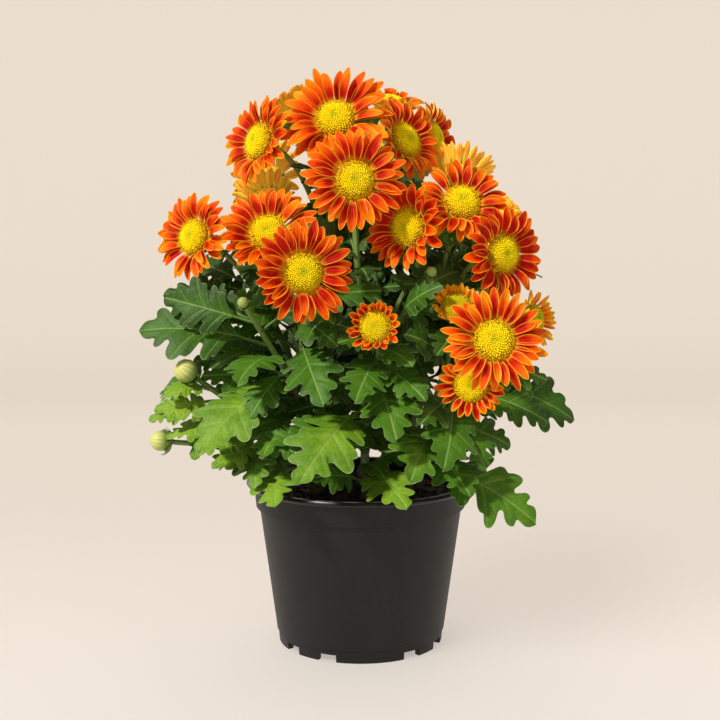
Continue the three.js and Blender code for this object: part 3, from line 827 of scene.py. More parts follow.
@dataclass
class Graph:
    """One material's shader graph.

    Attributes:
        name: The material's name.
    """

    name: str

    def __post_init__(self) -> None:
        """Start an empty graph with its output."""
        self.material = bpy.data.materials.new(self.name)
        self.material.use_nodes = True
        self.nodes = self.material.node_tree.nodes
        self.links = self.material.node_tree.links
        self.nodes.clear()
        self.out = self.nodes.new("ShaderNodeOutputMaterial")

    def node(self, kind: str, settings: dict | None = None, inputs: dict | None = None) -> bpy.types.Node:
        """Add a node.

        Args:
            kind: The node's type.
            settings: Its own settings, set first.
            inputs: Its sockets' values or wires, by name or place.

        Returns:
            The node.
        """
        node = self.nodes.new(kind)
        for key, value in (settings or {}).items():
            setattr(node, key, value)
        for key, value in (inputs or {}).items():
            socket = node.inputs[key]
            if isinstance(value, Wire):
                self.links.new(value.socket, socket)
            elif isinstance(value, tuple) and socket.type == "RGBA":
                socket.default_value = (*value, 1.0)
            else:
                socket.default_value = value
        return node

    def value(
        self, kind: str, settings: dict | None = None, inputs: dict | None = None, out: object = 0
    ) -> Wire:
        """Add a node and give one of its outputs."""
        return Wire(self, self.node(kind, settings, inputs).outputs[out])

    def channel(self, name: str) -> Wire:
        """Read one of the mesh's own values."""
        return self.value("ShaderNodeAttribute", {"attribute_name": name}, out="Fac")

    def noise(self, scale: float, detail: float = 2.0, rough: float = 0.5, at: Wire | None = None) -> Wire:
        """Read a cloudy pattern, in object space unless a place is given."""
        at = at or self.value("ShaderNodeTexCoord", out="Object")
        inputs = {"Vector": at, "Scale": scale, "Detail": detail, "Roughness": rough}
        return self.value("ShaderNodeTexNoise", None, inputs)

    def spot(self, x: object, y: object, z: object) -> Wire:
        """Join three values into a place."""
        return self.value("ShaderNodeCombineXYZ", None, {0: x, 1: y, 2: z})

    def blend(self, a: object, b: object, t: object) -> Wire:
        """Blend two colours."""
        return self.value("ShaderNodeMix", {"data_type": "RGBA"}, {0: t, 6: a, 7: b}, out=2)

    def bump(self, height: Wire, depth: float, below: Wire | None = None) -> Wire:
        """Turn a height into a normal.

        Args:
            height: The height, from 0 to 1.
            depth: The real height in millimetres.
            below: Another bump's normal to stand on.

        Returns:
            The normal.
        """
        inputs = {"Strength": 1.0, "Distance": depth * MM, "Height": height}
        if below is not None:
            inputs["Normal"] = below
        return self.value("ShaderNodeBump", None, inputs)

    def surface(self, **inputs: object) -> bpy.types.Material:
        """Close the graph with a Principled shader whose sockets are named with underscores."""
        named = {key.replace("_", " "): value for key, value in inputs.items()}
        shader = self.node("ShaderNodeBsdfPrincipled", None, named)
        self.links.new(shader.outputs[0], self.out.inputs["Surface"])
        return self.material


@dataclass(frozen=True)
class PetalFinish:
    """Satiny petals: red to orange with a thin yellow margin, and gold backs that glow with painted light.

    Attributes:
        red: The face where it is deepest.
        orange: The face where it is lighter.
        glow: Its bright streaks.
        margin: The line round the face.
        gold: The face at its very lightest.
        root: The face next to the disc.
        back: The underside, which also glows in this colour as painted light.
        back_streak: The underside's streaks.
        patchy: How strongly the streaks change the face's colour.
        varied: How strongly a petal's own tone changes it.
        grooves: How many grooves run along a petal, as an angle from its middle to its rim.
        relief: How deep they are.
        painted_back_glow: How strongly the underside glows, painted light that brightens the backs turned
            from the lamps.
    """

    red: Colour = (0.46, 0.006, 0.0005)
    orange: Colour = (0.84, 0.085, 0.0005)
    glow: Colour = (1.0, 0.24, 0.001)
    margin: Colour = (1.0, 0.46, 0.02)
    gold: Colour = (0.95, 0.42, 0.012)
    root: Colour = (0.97, 0.52, 0.01)
    back: Colour = (1.0, 0.60, 0.045)
    back_streak: Colour = (0.80, 0.13, 0.008)
    patchy: float = 0.9
    varied: float = 1.2
    grooves: float = 11.0
    relief: float = 0.22
    painted_back_glow: float = 0.14

    def made(self) -> bpy.types.Material:
        """Make the material.

        Returns:
            The material.
        """
        g = Graph("petal satin")
        across, along, edge, tone = (g.channel(n) for n in ("across", "along", "edge", "tone"))
        streak = g.noise(1.0, 3.0, 0.6, g.spot(across * 4.0, along * 0.8, tone * 40.0))
        fine = g.noise(1.0, 2.0, 0.5, g.spot(across * 14.0, along * 1.2, tone * 90.0))
        warm = abs(across).rises(0.2, 1.0) * 0.3 + along.rises(0.25, 0.9) * 0.9 - 0.05
        warm = warm + (streak - 0.5) * self.patchy + (0.5 - tone) * self.varied
        face = g.blend(self.red, self.orange, warm.rises(0.05, 0.65))
        face = g.blend(face, self.glow, warm.rises(0.55, 1.25))
        face = g.blend(face, self.gold, warm.rises(1.1, 1.6))
        face = g.blend(face, self.root, (1.0 - along.rises(0.03, 0.27)) * (1.35 - tone))
        lines = streak.rises(0.42, 0.6) * (1.0 - abs(across).rises(0.5, 1.0)) * along.rises(0.1, 0.5)
        back = g.blend(self.back, self.back_streak, lines * 0.85)
        rim = 1.0 - edge.rises(0.5, 1.4)
        face = g.blend(face, self.margin, rim * 0.8)
        side = g.channel("side")
        colour = g.blend(back, face, side)
        grooves = (across * self.grooves).maths("COSINE") * 0.35 + fine * 0.65
        return g.surface(
            Base_Color=colour,
            Roughness=fine * 0.15 + 0.45,
            Normal=g.bump(grooves, self.relief),
            Specular_IOR_Level=0.1,
            # The underside glows in its own colour: painted light on the backs.
            Emission_Color=g.blend(colour, (0.0, 0.0, 0.0), side),
            Emission_Strength=self.painted_back_glow,
            Subsurface_Weight=0.3,
            Subsurface_Radius=(0.002, 0.0007, 0.0001),
            Subsurface_Scale=0.5,
        )


@dataclass(frozen=True)
class DiscFinish:
    """Matt yellow florets with painted golden-brown shade between them, deeper at the rim, and greenish at
    the middle.

    Attributes:
        tip: A ripe floret's tip.
        foot: Its foot, between the florets, darkened as painted shade.
        dark: The same in the outermost rings, with deeper painted shade.
        middle: The tips in the middle of the disc.
        rim: The tips in the outermost rings: the open florets' own golden-brown, darkened further as painted
            shade of the dome's edge.
        unripe: The tips of a young bloom's disc.
    """

    tip: Colour = (0.98, 0.79, 0.003)
    foot: Colour = (0.90, 0.62, 0.003)
    dark: Colour = (0.50, 0.24, 0.002)
    middle: Colour = (0.66, 0.68, 0.008)
    rim: Colour = (0.62, 0.31, 0.002)
    unripe: Colour = (0.36, 0.42, 0.012)

    def made(self) -> bpy.types.Material:
        """Make the material.

        Returns:
            The material.
        """
        g = Graph("disc florets")
        up, ring, tone, young = (g.channel(n) for n in ("up", "ring", "tone", "young"))
        top = g.blend(self.middle, self.tip, (ring + tone * 0.15).rises(0.12, 0.42))
        # The outer rings' tips: their own golden-brown and painted shade of the dome's edge.
        top = g.blend(top, self.rim, (ring + tone * 0.12).rises(0.70, 0.98) * 0.85)
        top = g.blend(top, self.unripe, young * (1.0 - ring.rises(0.5, 1.0) * 0.5))
        # Painted shade between the florets, deeper in the outer rings, fading out up each floret.
        foot = g.blend(self.foot, self.dark, (ring + tone * 0.1).rises(0.55, 0.9))
        colour = g.blend(foot, top, up.rises(0.0, 0.6))
        return g.surface(
            Base_Color=colour,
            Roughness=0.65,
            Specular_IOR_Level=0.15,
            Subsurface_Weight=0.1,
            Subsurface_Radius=(0.001, 0.0006, 0.0001),
            Subsurface_Scale=0.4,
        )


@dataclass(frozen=True)
class LeafFinish:
    """Leaves from dark to yellow-green, with paler veins, edge and underside.

    Attributes:
        dark: The blade at its darkest.
        mid: The common blade.
        light: The blade at its lightest.
        vein: The midrib and the veins.
        rim: The thin edge.
        back: The underside.
        pucker_h: How deep the blade's puckers are.
        vein_h: How deep the veins are sunk.
    """

    dark: Colour = (0.016, 0.048, 0.004)
    mid: Colour = (0.058, 0.160, 0.006)
    light: Colour = (0.24, 0.40, 0.022)
    vein: Colour = (0.24, 0.38, 0.10)
    rim: Colour = (0.45, 0.56, 0.28)
    back: Colour = (0.15, 0.25, 0.06)
    pucker_h: float = 0.5
    vein_h: float = 0.2

    def made(self) -> bpy.types.Material:
        """Make the material.

        Returns:
            The material.
        """
        g = Graph("leaf")
        vein, off, reach, tone, side = (g.channel(n) for n in ("vein", "off", "reach", "tone", "side"))
        cloud = g.noise(70.0, 3.0, 0.6)
        pucker = g.noise(420.0, 3.0, 0.6)
        shade = tone + (cloud - 0.5) * 0.5 + (pucker - 0.5) * 0.3 - (reach - 0.5) * 0.14
        face = g.blend(self.dark, self.mid, shade.rises(0.0, 0.55))
        face = g.blend(face, self.light, shade.rises(0.5, 1.1))
        midrib = 1.0 - off.rises(0.25, 0.75)
        line = (vein - reach * 0.14).rises(0.68, 0.95) * 0.7
        line = line.maths("MAXIMUM", midrib)
        face = g.blend(face, self.vein, line * 0.55)
        face = g.blend(face, self.rim, reach.rises(0.972, 0.998) * 0.6)
        back = g.blend(self.back, self.vein, line * 0.7)
        colour = g.blend(back, face, side)
        normal = g.bump(pucker, self.pucker_h, g.bump(1.0 - line, self.vein_h))
        return g.surface(
            Base_Color=colour,
            Roughness=pucker * 0.14 + 0.44,
            Normal=normal,
            Subsurface_Weight=0.1,
            Subsurface_Radius=(0.0008, 0.002, 0.0003),
            Subsurface_Scale=0.5,
            Specular_IOR_Level=0.25,
        )


@dataclass(frozen=True)
class StalkFinish:
    """Pale green ribbed stalks, bracts and buds, browner at the foot.

    Attributes:
        green: The darker green.
        pale: The lighter green.
        foot: The woody foot of a stem.
        bud: The young petals of a bud.
        relief: How deep the skin's grain is.
    """

    green: Colour = (0.13, 0.23, 0.05)
    pale: Colour = (0.22, 0.34, 0.07)
    foot: Colour = (0.10, 0.07, 0.03)
    bud: Colour = (0.72, 0.70, 0.20)
    relief: float = 0.25

    def made(self) -> bpy.types.Material:
        """Make the material.

        Returns:
            The material.
        """
        g = Graph("stalk")
        ripe, tone = g.channel("ripe"), g.channel("tone")
        rough = g.noise(250.0, 3.0, 0.6)
        colour = g.blend(self.green, self.pale, (tone + (rough - 0.5) * 0.6).rises(0.1, 0.95))
        colour = g.blend(self.foot, colour, g.channel("rise").rises(0.0, 0.22))
        colour = g.blend(colour, self.bud, ripe)
        return g.surface(Base_Color=colour, Roughness=0.55, Normal=g.bump(rough, self.relief))


@dataclass(frozen=True)
class PotFinish:
    """Black moulded plastic with a fine grain, and a glossier lip.

    Attributes:
        black: The plastic.
        worn: The plastic where it is dusty.
        lip_z: The height where the lip starts.
        grain_h: How deep the grain is.
    """

    black: Colour = (0.0050, 0.0044, 0.0040)
    worn: Colour = (0.009, 0.008, 0.0072)
    lip_z: float = 96.5
    grain_h: float = 0.09

    def made(self) -> bpy.types.Material:
        """Make the material.

        Returns:
            The material.
        """
        g = Graph("pot plastic")
        place = g.node("ShaderNodeSeparateXYZ", None, {0: g.value("ShaderNodeTexCoord", out="Object")})
        height = Wire(g, place.outputs[2]) / MM
        grain = g.noise(1500.0, 2.0, 0.5)
        cloud = g.noise(25.0, 4.0, 0.6)
        lip = height.rises(self.lip_z - 0.6, self.lip_z)
        colour = g.blend(self.black, self.worn, cloud.rises(0.35, 0.7))
        return g.surface(
            Base_Color=colour,
            Roughness=0.46 + cloud * 0.12 - lip * 0.2,
            Normal=g.bump(grain * (1.0 - lip * 0.8), self.grain_h),
            Specular_IOR_Level=0.33,
        )


@dataclass(frozen=True)
class SoilFinish:
    """Dark peat with browner fibres and crumbs.

    Attributes:
        peat: The dark peat.
        fibre: The fibres and the light crumbs.
        relief: How deep its grain is.
    """

    peat: Colour = (0.012, 0.008, 0.006)
    fibre: Colour = (0.075, 0.035, 0.018)
    relief: float = 1.2

    def made(self) -> bpy.types.Material:
        """Make the material.

        Returns:
            The material.
        """
        g = Graph("peat")
        crumb = g.noise(260.0, 5.0, 0.7)
        tone = g.channel("tone")
        colour = g.blend(self.peat, self.fibre, (crumb + tone * 0.5).rises(0.45, 1.0))
        return g.surface(Base_Color=colour, Roughness=0.95, Normal=g.bump(crumb, self.relief))


def carried(piece: bpy.types.Object, node: str) -> None:
    """Let a piece ride on the part and stand for its solid.

    Args:
        piece: The finished piece.
        node: The CAD node it stands for.
    """
    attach(piece, BODY)
    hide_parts(node)
    log.info("%s: %d faces", piece.name, len(piece.data.polygons))


def select_only(piece: bpy.types.Object) -> None:
    """Select one object and make it active."""
    bpy.ops.object.select_all(action="DESELECT")
    piece.select_set(True)
    bpy.context.view_layer.objects.active = piece


@dataclass
class Pot:
    """The nursery pot.

    Attributes:
        finish: Its material.
        sides: The faces round it.
        notch_w: The width of a notch in the foot ring.
        notch_h: Its height.
        notch_turn: How far a notch is from the middle of a narrow foot, in degrees.
        narrow_feet: Where the narrow feet are, in degrees round from the front towards +X.
        foot_r: The foot ring's outer radius.
        ring_w: How wide the ring is.
        floor_z: The height of the floor's underside.
        drain_r: The radius of a drain hole.
        drain_ring_r: How far the holes are from the middle.
        drain_turn: The first hole's angle, in degrees.
        drains: How many holes there are.
        edge_r: How far the moulded edges are rounded.
        outside: Radius and height of each turn of the wall, from the foot ring's inner edge up over the lip
            and down the inside.
    """

    finish: bpy.types.Material
    sides: int = 144
    notch_w: float = 11.4
    notch_h: float = 4.4
    notch_turn: float = 15.0
    narrow_feet: tuple[float, ...] = (-38, 52, 142, 232)
    foot_r: float = 50.4
    ring_w: float = 4.0
    floor_z: float = 5.0
    drain_r: float = 5.0
    drain_ring_r: float = 33.0
    drain_turn: float = 7.0
    drains: int = 3
    edge_r: float = 0.35
    outside: tuple[tuple[float, float], ...] = (
        (47.0, 0), (50.4, 0), (51.0, 7), (51.8, 7.6), (62, 83.6), (64.2, 84.4), (65.2, 96), (68.8, 97),
        (70, 98.5), (69.4, 100), (66.6, 100), (63.4, 95.5), (62.4, 83.6), (60.2, 82.8), (50, 7),
    )

    def build(self) -> None:
        """Draw the wall up ring by ring, close the floor, cut feet and drains, and round the edges."""
        bpy.ops.object.select_all(action="DESELECT")
        radius, z = self.foot_r - self.ring_w, self.floor_z
        bpy.ops.mesh.primitive_circle_add(vertices=self.sides, radius=radius * MM, location=(0, 0, z * MM))
        pot = bpy.context.object
        pot.name = pot.data.name = "pot_shell"
        bpy.ops.object.transform_apply(location=True)
        bpy.ops.object.mode_set(mode="EDIT")
        bpy.ops.mesh.select_all(action="SELECT")
        bpy.ops.mesh.duplicate()
        bpy.ops.mesh.edge_face_add()
        bpy.ops.mesh.select_all(action="INVERT")
        for r, height in self.outside:
            lift = {"value": (0, 0, (height - z) * MM)}
            bpy.ops.mesh.extrude_region_move(TRANSFORM_OT_translate=lift)
            bpy.ops.transform.resize(value=(r / radius, r / radius, 1))
            radius, z = r, height
        bpy.ops.mesh.edge_face_add()
        bpy.ops.mesh.select_all(action="SELECT")
        bpy.ops.mesh.remove_doubles(threshold=0.01 * MM)
        bpy.ops.mesh.normals_make_consistent(inside=False)
        bpy.ops.object.mode_set(mode="OBJECT")
        self.cut(pot)
        self.round_off(pot)
        pot.data.materials.clear()
        pot.data.materials.append(self.finish)
        carried(pot, "pot")

    def cut(self, pot: bpy.types.Object) -> None:
        """Cut the notches between the feet and the drain holes.

        Args:
            pot: The pot.
        """
        for foot in self.narrow_feet:
            for side in (-1, 1):
                turn = math.radians(foot + side * self.notch_turn - 90)
                middle = self.foot_r - self.ring_w / 2
                at = (middle * math.cos(turn) * MM, middle * math.sin(turn) * MM, 0)
                bpy.ops.mesh.primitive_cube_add(size=1, location=at, rotation=(0, 0, turn))
                size = (3 * self.ring_w * MM, self.notch_w * MM, 2 * self.notch_h * MM)
                bpy.context.object.scale = size
                self.subtract(pot, bpy.context.object)
        depth = 2 * self.floor_z * MM
        for i in range(self.drains):
            turn = math.radians(self.drain_turn + i * 360 / self.drains)
            r = self.drain_ring_r * MM
            at = (r * math.cos(turn), r * math.sin(turn), 0.6 * depth)
            bore = self.drain_r * MM
            bpy.ops.mesh.primitive_cylinder_add(vertices=40, radius=bore, depth=depth, location=at)
            self.subtract(pot, bpy.context.object)

    def subtract(self, pot: bpy.types.Object, cutter: bpy.types.Object) -> None:
        """Cut one shape out of the pot and drop the cutter.

        Args:
            pot: The pot.
            cutter: The shape.
        """
        select_only(pot)
        cut = pot.modifiers.new("cut", "BOOLEAN")
        cut.operation = "DIFFERENCE"
        cut.solver = "EXACT"
        cut.object = cutter
        bpy.ops.object.modifier_apply(modifier=cut.name)
        bpy.data.objects.remove(cutter)

    def round_off(self, pot: bpy.types.Object) -> None:
        """Round the moulded edges and smooth what lies between them.

        Args:
            pot: The pot.
        """
        select_only(pot)
        bevel = pot.modifiers.new("rounded edges", "BEVEL")
        bevel.width = self.edge_r * MM
        bevel.segments = 2
        bevel.limit_method = "ANGLE"
        bevel.angle_limit = math.radians(28)
        bpy.ops.object.modifier_apply(modifier=bevel.name)
        bpy.ops.object.shade_smooth_by_angle(angle=math.radians(30))


@dataclass
class Soil:
    """The compost: a rough surface and the body under it, with crumbs and fibres.

    Attributes:
        finish: Its material.
        edge_r: The surface's radius.
        edge_z: Its height at the wall.
        mound: How much higher its middle is.
        lump: How far its lumps rise.
        foot_r: The body's radius on the floor.
        foot_z: The height of the floor.
        rings: Rings of points on the surface.
        sides: Points round each ring.
        crumbs: How many crumbs and fibres lie on it.
    """

    finish: bpy.types.Material
    edge_r: float = 62.1
    edge_z: float = 90.0
    mound: float = 4.0
    lump: float = 0.8
    foot_r: float = 49.2
    foot_z: float = 7.8
    rings: int = 30
    sides: int = 96
    crumbs: int = 760

    def height(self, r: np.ndarray, a: np.ndarray) -> np.ndarray:
        """Give the surface's height, mounded and lumpy.

        Args:
            r: Distances from the middle.
            a: Angles round it.

        Returns:
            The heights.
        """
        x, y = r * np.cos(a), r * np.sin(a)
        lumps = np.sin(x * 0.7) * np.cos(y * 0.9 + 1) + 0.6 * np.sin(x * 1.9 + 2) * np.sin(y * 1.7)
        fade = 1 - smooth(0.9, 1.0, r / self.edge_r)
        return self.edge_z + self.mound * (1 - (r / self.edge_r) ** 2) + lumps * fade * self.lump

    def build(self) -> None:
        """Make the surface, the body and the crumbs as one piece."""
        skin = Skin(("tone",))
        a = np.linspace(0, 2 * math.pi, self.sides, endpoint=False)
        r = np.linspace(0, self.edge_r, self.rings)[:, None]
        top = np.stack(np.broadcast_arrays(r * np.cos(a), r * np.sin(a), self.height(r, a)), axis=-1)
        down = [(self.foot_r, self.foot_z), (0, self.foot_z)]
        rings = [np.stack([w * np.cos(a), w * np.sin(a), np.full_like(a, z)], axis=-1) for w, z in down]
        skin.grid(np.concatenate([top, np.stack(rings)]), closed=True)
        for i in range(self.crumbs):
            self.add_crumb(skin, i)
        carried(skin.made("soil_crumbs", self.finish, 70.0), "soil")

    def add_crumb(self, skin: Skin, i: int) -> None:
        """Add one crumb or fibre that lies half sunk in the surface.

        Args:
            skin: The soil's skin.
            i: Its counter.
        """
        r = self.edge_r * 0.97 * math.sqrt(wobble(i + 0.1))
        a = 2 * math.pi * wobble(i + 0.2)
        size = mix(0.5, 1.7, wobble(i + 0.3) ** 2)
        long = mix(1.0, 3.2, wobble(i + 0.4) ** 4)
        middle = np.array([r * math.cos(a), r * math.sin(a), float(self.height(r, a)) + size * 0.3])
        way = heading(360 * wobble(i + 0.5), stray(20, i + 0.6))
        side = unit(np.cross(UP, way))
        other = np.cross(way, side)
        turn = np.linspace(0, 2 * math.pi, 5, endpoint=False)
        rings = []
        for d, w in ((-1, 0.45), (-0.3, 1.0), (0.4, 0.9), (1, 0.4)):
            girth = size * w * (1 + 0.25 * np.cos(turn * 2 + i))
            spread = np.cos(turn)[:, None] * side + np.sin(turn)[:, None] * other * 0.8
            rings.append(middle + way * d * size * long + girth[:, None] * spread)
        skin.tube(np.stack(rings), tone=wobble(i + 0.7))


def rings_along(points: np.ndarray, tangents: np.ndarray, radii: np.ndarray, sides: int) -> np.ndarray:
    """Make ribbed rings along a line of points, without twist.

    Args:
        points: The line.
        tangents: Its direction at each point.
        radii: Its radius at each point.
        sides: The corners of a ring.

    Returns:
        Rings by corners of points.
    """
    a = np.linspace(0, 2 * math.pi, sides, endpoint=False)
    rib = 1 + 0.07 * np.cos(a * 5)
    side = np.array([1.0, 0.0, 0.0])
    rings = []
    for point, along, radius in zip(points, tangents, radii):
        side = unit(side - along * (side @ along))
        other = np.cross(along, side)
        around = np.cos(a)[:, None] * side + np.sin(a)[:, None] * other
        rings.append(point + (radius * rib)[:, None] * around)
    return np.stack(rings)


@dataclass(frozen=True)
class PetalForm:
    """The form of one petal or bract in a bloom's own coordinates.

    Attributes:
        turn: Its angle round the axis.
        foot: Radius and height of its foot.
        length: Its length.
        width: Its greatest width.
        start: Its pitch at the foot, in degrees up from the petal plane.
        end: Its pitch at the tip.
        channel: How far its edges rise over its middle, as a share of the width.
        pointed: Whether the tip is pointed.
        twist: How far it is turned about its length at the tip, in degrees.
        thick: Its thickness.
        keel: The height of the ridges along it, as a share of the width.
        arc: How far the points across it draw together at the rims, up to 1.
        crowd: How far the points along it draw together at the tip, from 1 for not at all.
        foot_w: The width of its foot as a share of the greatest.
        widest: Where it is widest, as a share of the length.
        tip_s: Where a blunt tip starts to close.
    """

    turn: float
    foot: tuple[float, float]
    length: float
    width: float
    start: float
    end: float
    channel: float = 0.12
    pointed: bool = False
    twist: float = 0.0
    thick: float = 0.35
    keel: float = 0.055
    arc: float = 0.92
    crowd: float = 1.35
    foot_w: float = 0.38
    widest: float = 0.58
    tip_s: float = 0.52

    def add_to(self, skin: Skin, head: Head, rows: int, cols: int, **values: float) -> None:
        """Add the petal to a skin.

        Args:
            skin: The skin.
            head: The bloom it belongs to.
            rows: Points along it.
            cols: Points across it.
            **values: Its own channel values.
        """
        s = 1 - (1 - np.linspace(0, 1, rows)) ** self.crowd
        c = np.sin(np.linspace(-1, 1, cols) * math.pi / 2 * self.arc) / math.sin(math.pi / 2 * self.arc)
        pitch = np.radians(mix(self.start, self.end, s))
        ds = np.diff(s, prepend=0) * self.length
        mid = np.concatenate([pitch[:1], (pitch[1:] + pitch[:-1]) / 2])
        r = self.foot[0] + np.cumsum(np.cos(mid) * ds)
        h = self.foot[1] + np.cumsum(np.sin(mid) * ds)
        half = self.width / 2 * self.outline(s)
        lift = self.channel * self.width * (c**2) * np.sin(math.pi * np.clip(s, 0.05, 0.95))[:, None]
        lift = lift + self.keel * self.width * np.cos(c * 3 * math.pi) * (1 - c**2)
        twist = np.radians(self.twist * s)[:, None]
        w = half[:, None] * c * np.cos(twist)
        rise = lift * (half / half.max())[:, None] + half[:, None] * c * np.sin(twist)
        ends = smooth(0, 0.04, 1 - s) * smooth(-0.02, 0.02, s)
        thick = self.thick * (1 - np.abs(c) ** 3) * ends[:, None]
        edge = np.minimum(half[:, None] * (1 - np.abs(c)), ((1 - s) * self.length)[:, None])

        def laid(drop: np.ndarray) -> np.ndarray:
            """Give the points of one face of the petal."""
            up = rise - drop
            radial = r[:, None] - up * np.sin(pitch)[:, None]
            height = h[:, None] + up * np.cos(pitch)[:, None]
            return head.place(np.hypot(radial, w), self.turn + np.arctan2(w, radial), height)

        spread = {"across": np.broadcast_to(c, (rows, cols)), "along": np.repeat(s[:, None], cols, 1)}
        skin.blade(laid(np.zeros_like(thick)), laid(thick), edge=edge / head.rim, **spread, **values)

    def outline(self, s: np.ndarray) -> np.ndarray:
        """Give the half width along the petal.

        Args:
            s: Shares of its length.

        Returns:
            The half widths as shares of the greatest.
        """
        if self.pointed:
            return np.sqrt(np.clip(1 - s, 0, 1)) * (0.75 + 0.5 * s)
        body = mix(self.foot_w, 1, np.sin(math.pi / 2 * np.clip(s / self.widest, 0, 1)) ** 1.2)
        tip = np.clip(1 - (np.clip(s - self.tip_s, 0, 1) / (1 - self.tip_s)) ** 2.4, 0, 1) ** 0.66
        return body * tip


@dataclass(frozen=True)
class PetalLayer:
    """How one layer of a full bloom's petals stands.

    Attributes:
        length: The petals' length against the lowest layer's.
        lift: How much steeper they stand than that layer, in degrees.
        foot_r: Their feet's distance from the axis.
        foot_h: Their feet's height.
        width: Their width against the lowest layer's.
    """

    length: float
    lift: float
    foot_r: float
    foot_h: float
    width: float = 1.0


@dataclass(frozen=True)
class FloretForm:
    """How a closed or an open floret is built up.

    Attributes:
        sides: The corners of a ring.
        rings: Each ring from the foot up: its height, its width, and how much it has of the tip's colour
            rather than the painted shade of the foot.
        top: How far the middle of its top rises over the last ring.
        top_up: How much of the last ring's colour that middle has.
        lobed: Which ring is cut into lobes, or -1 for none.
        lobes: How wide the lobes and the cuts between them are.
    """

    sides: int
    rings: tuple[tuple[float, float, float], ...]
    top: float
    top_up: float
    lobed: int = -1
    lobes: tuple[float, float] = (1.0, 1.0)


@dataclass
class Bloom:
    """One bloom: petals in layers on a small drum, and a domed disc of florets.

    Attributes:
        number: Its number, as in its nodes' names.
        head: Its place and form.
        petal_finish: The petals' material.
        disc_finish: The florets' material.
        layers: The two lower layers, which take turns round the ring, and the upper one.
        lower_share: The share of the petals that each lower layer has.
        petal_w: A petal's width in a full bloom.
        young_w: A young bloom's petal's width against that.
        pitch_stray: How far a petal's pitch strays, in degrees.
        arch_stray: How far its arch does.
        twist_stray: How far it may be twisted.
        length_stray: How far its length strays, as a share.
        width_stray: How far its width does.
        tone_stray: How far its colour does.
        rows: Points along a petal.
        cols: Points across it.
        drum: Radius and height of each ring of the drum.
        dome_h: The disc's height over the petal plane.
        dome_power: How flat the dome is at the middle.
        dent: The depth of the dimple in the middle.
        dent_sharp: How narrow the dimple is.
        skirt_r: The radius of the dome under the florets.
        closed_florets: How many florets at the middle are closed.
        open_florets: How many round them are open.
        closed: How a closed floret is built up.
        opened: How an open one is.
        golden: The turn from one floret to the next, in degrees.
        spiral_r: How far out the florets stand, as a share of the disc's radius.
        lean: How far they lean with the dome, from 0 to 1.
        girths: A floret's radius at the middle and at the rim.
    """

    number: str
    head: Head
    petal_finish: bpy.types.Material
    disc_finish: bpy.types.Material
    layers: tuple[PetalLayer, ...] = (
        PetalLayer(1.0, 0.0, 10.4, -0.6),
        PetalLayer(0.95, 8.0, 10.1, 0.3),
        PetalLayer(0.8, 15.0, 9.8, 0.9, 0.88),
    )
    lower_share: float = 0.38
    petal_w: float = 6.0
    young_w: float = 0.8
    pitch_stray: float = 7.5
    arch_stray: float = 9.0
    twist_stray: float = 22.0
    length_stray: float = 0.1
    width_stray: float = 0.12
    tone_stray: float = 0.32
    rows: int = 11
    cols: int = 7
    drum: tuple[tuple[float, float], ...] = ((7.6, DRUM_FOOT), (9.6, -2.6), (10.6, -0.5), (10.0, 0.1))
    dome_h: float = 0.86 * DISC_H
    dome_power: float = 2.6
    dent: float = 0.9
    dent_sharp: float = 6.0
    skirt_r: float = 0.93 * DISC_R
    closed_florets: int = 185
    open_florets: int = 68
    closed: FloretForm = FloretForm(5, ((-0.4, 0.8, 0), (0.5, 1.0, 0.55), (1.0, 0.62, 1)), 0.25, 1.0)
    opened: FloretForm = FloretForm(
        10, ((-0.4, 0.6, 0), (0.55, 0.78, 0.5), (1.25, 1.0, 1), (0.8, 0.3, 0.15)), 0.0, 0.6, 2, (1.28, 0.72)
    )
    golden: float = 137.508
    spiral_r: float = 0.89
    lean: float = 0.8
    girths: tuple[float, float] = (0.53, 0.66)

    def build(self) -> None:
        """Make the petals and the disc."""
        seed = int(self.number) * 100.0
        self.build_petals(seed)
        self.build_disc(seed)

    def build_petals(self, seed: float) -> None:
        """Lay the petals in three layers round the drum.

        Args:
            seed: The bloom's own counter.
        """
        head = self.head
        size = head.size
        skin = Skin(("across", "along", "edge", "tone", "side"))
        ring = 2 * round(head.petals * self.lower_share)
        incurved = float(smooth(14, 34, np.array(float(head.cup))))
        for i in range(head.petals):
            n = seed + i
            if i < ring:
                layer = self.layers[i % 2]
                share = (i + stray(0.26, n)) / ring
            else:
                layer = self.layers[2]
                share = (i - ring + 0.5 + stray(0.35, n)) / (head.petals - ring)
            turn = 2 * math.pi * share + wobble(seed) * 6
            near = max(0.0, math.cos(turn - head.curl[0])) * head.curl[1]
            pitch = head.cup + layer.lift + near + stray(self.pitch_stray, n + 0.5)
            arch = mix(14, -13, incurved) + stray(self.arch_stray, n + 0.6) - near * 0.8
            reach = (head.r * 1.02 * head.trim - layer.foot_r * size) * layer.length
            width = self.petal_w * size * head.wide * layer.width * (self.young_w if head.small else 1)
            tone = min(head.heat + stray(self.tone_stray, n + 0.3), 1)
            PetalForm(
                turn=turn,
                foot=(layer.foot_r * size, layer.foot_h * size),
                length=reach * (1 + stray(self.length_stray, n + 0.7)),
                width=width * (1 + stray(self.width_stray, n + 0.8)),
                start=pitch + arch,
                end=pitch - arch,
                channel=0.2 + 0.24 * wobble(n + 0.9),
                twist=stray(self.twist_stray, n + 0.95),
            ).add_to(skin, head, self.rows, self.cols, tone=tone)
        a = np.linspace(0, 2 * math.pi, 32, endpoint=False)
        rings = np.stack([head.place(np.full_like(a, r * size), a, h * size) for r, h in self.drum])
        # The drum takes the underside's colour and its painted glow.
        skin.tube(rings, tone=0.5, along=0.05, edge=2.0, side=0.0)
        petals = skin.made(f"petals_{self.number}", self.petal_finish)
        carried(petals, f"bloom_{self.number}_petals")

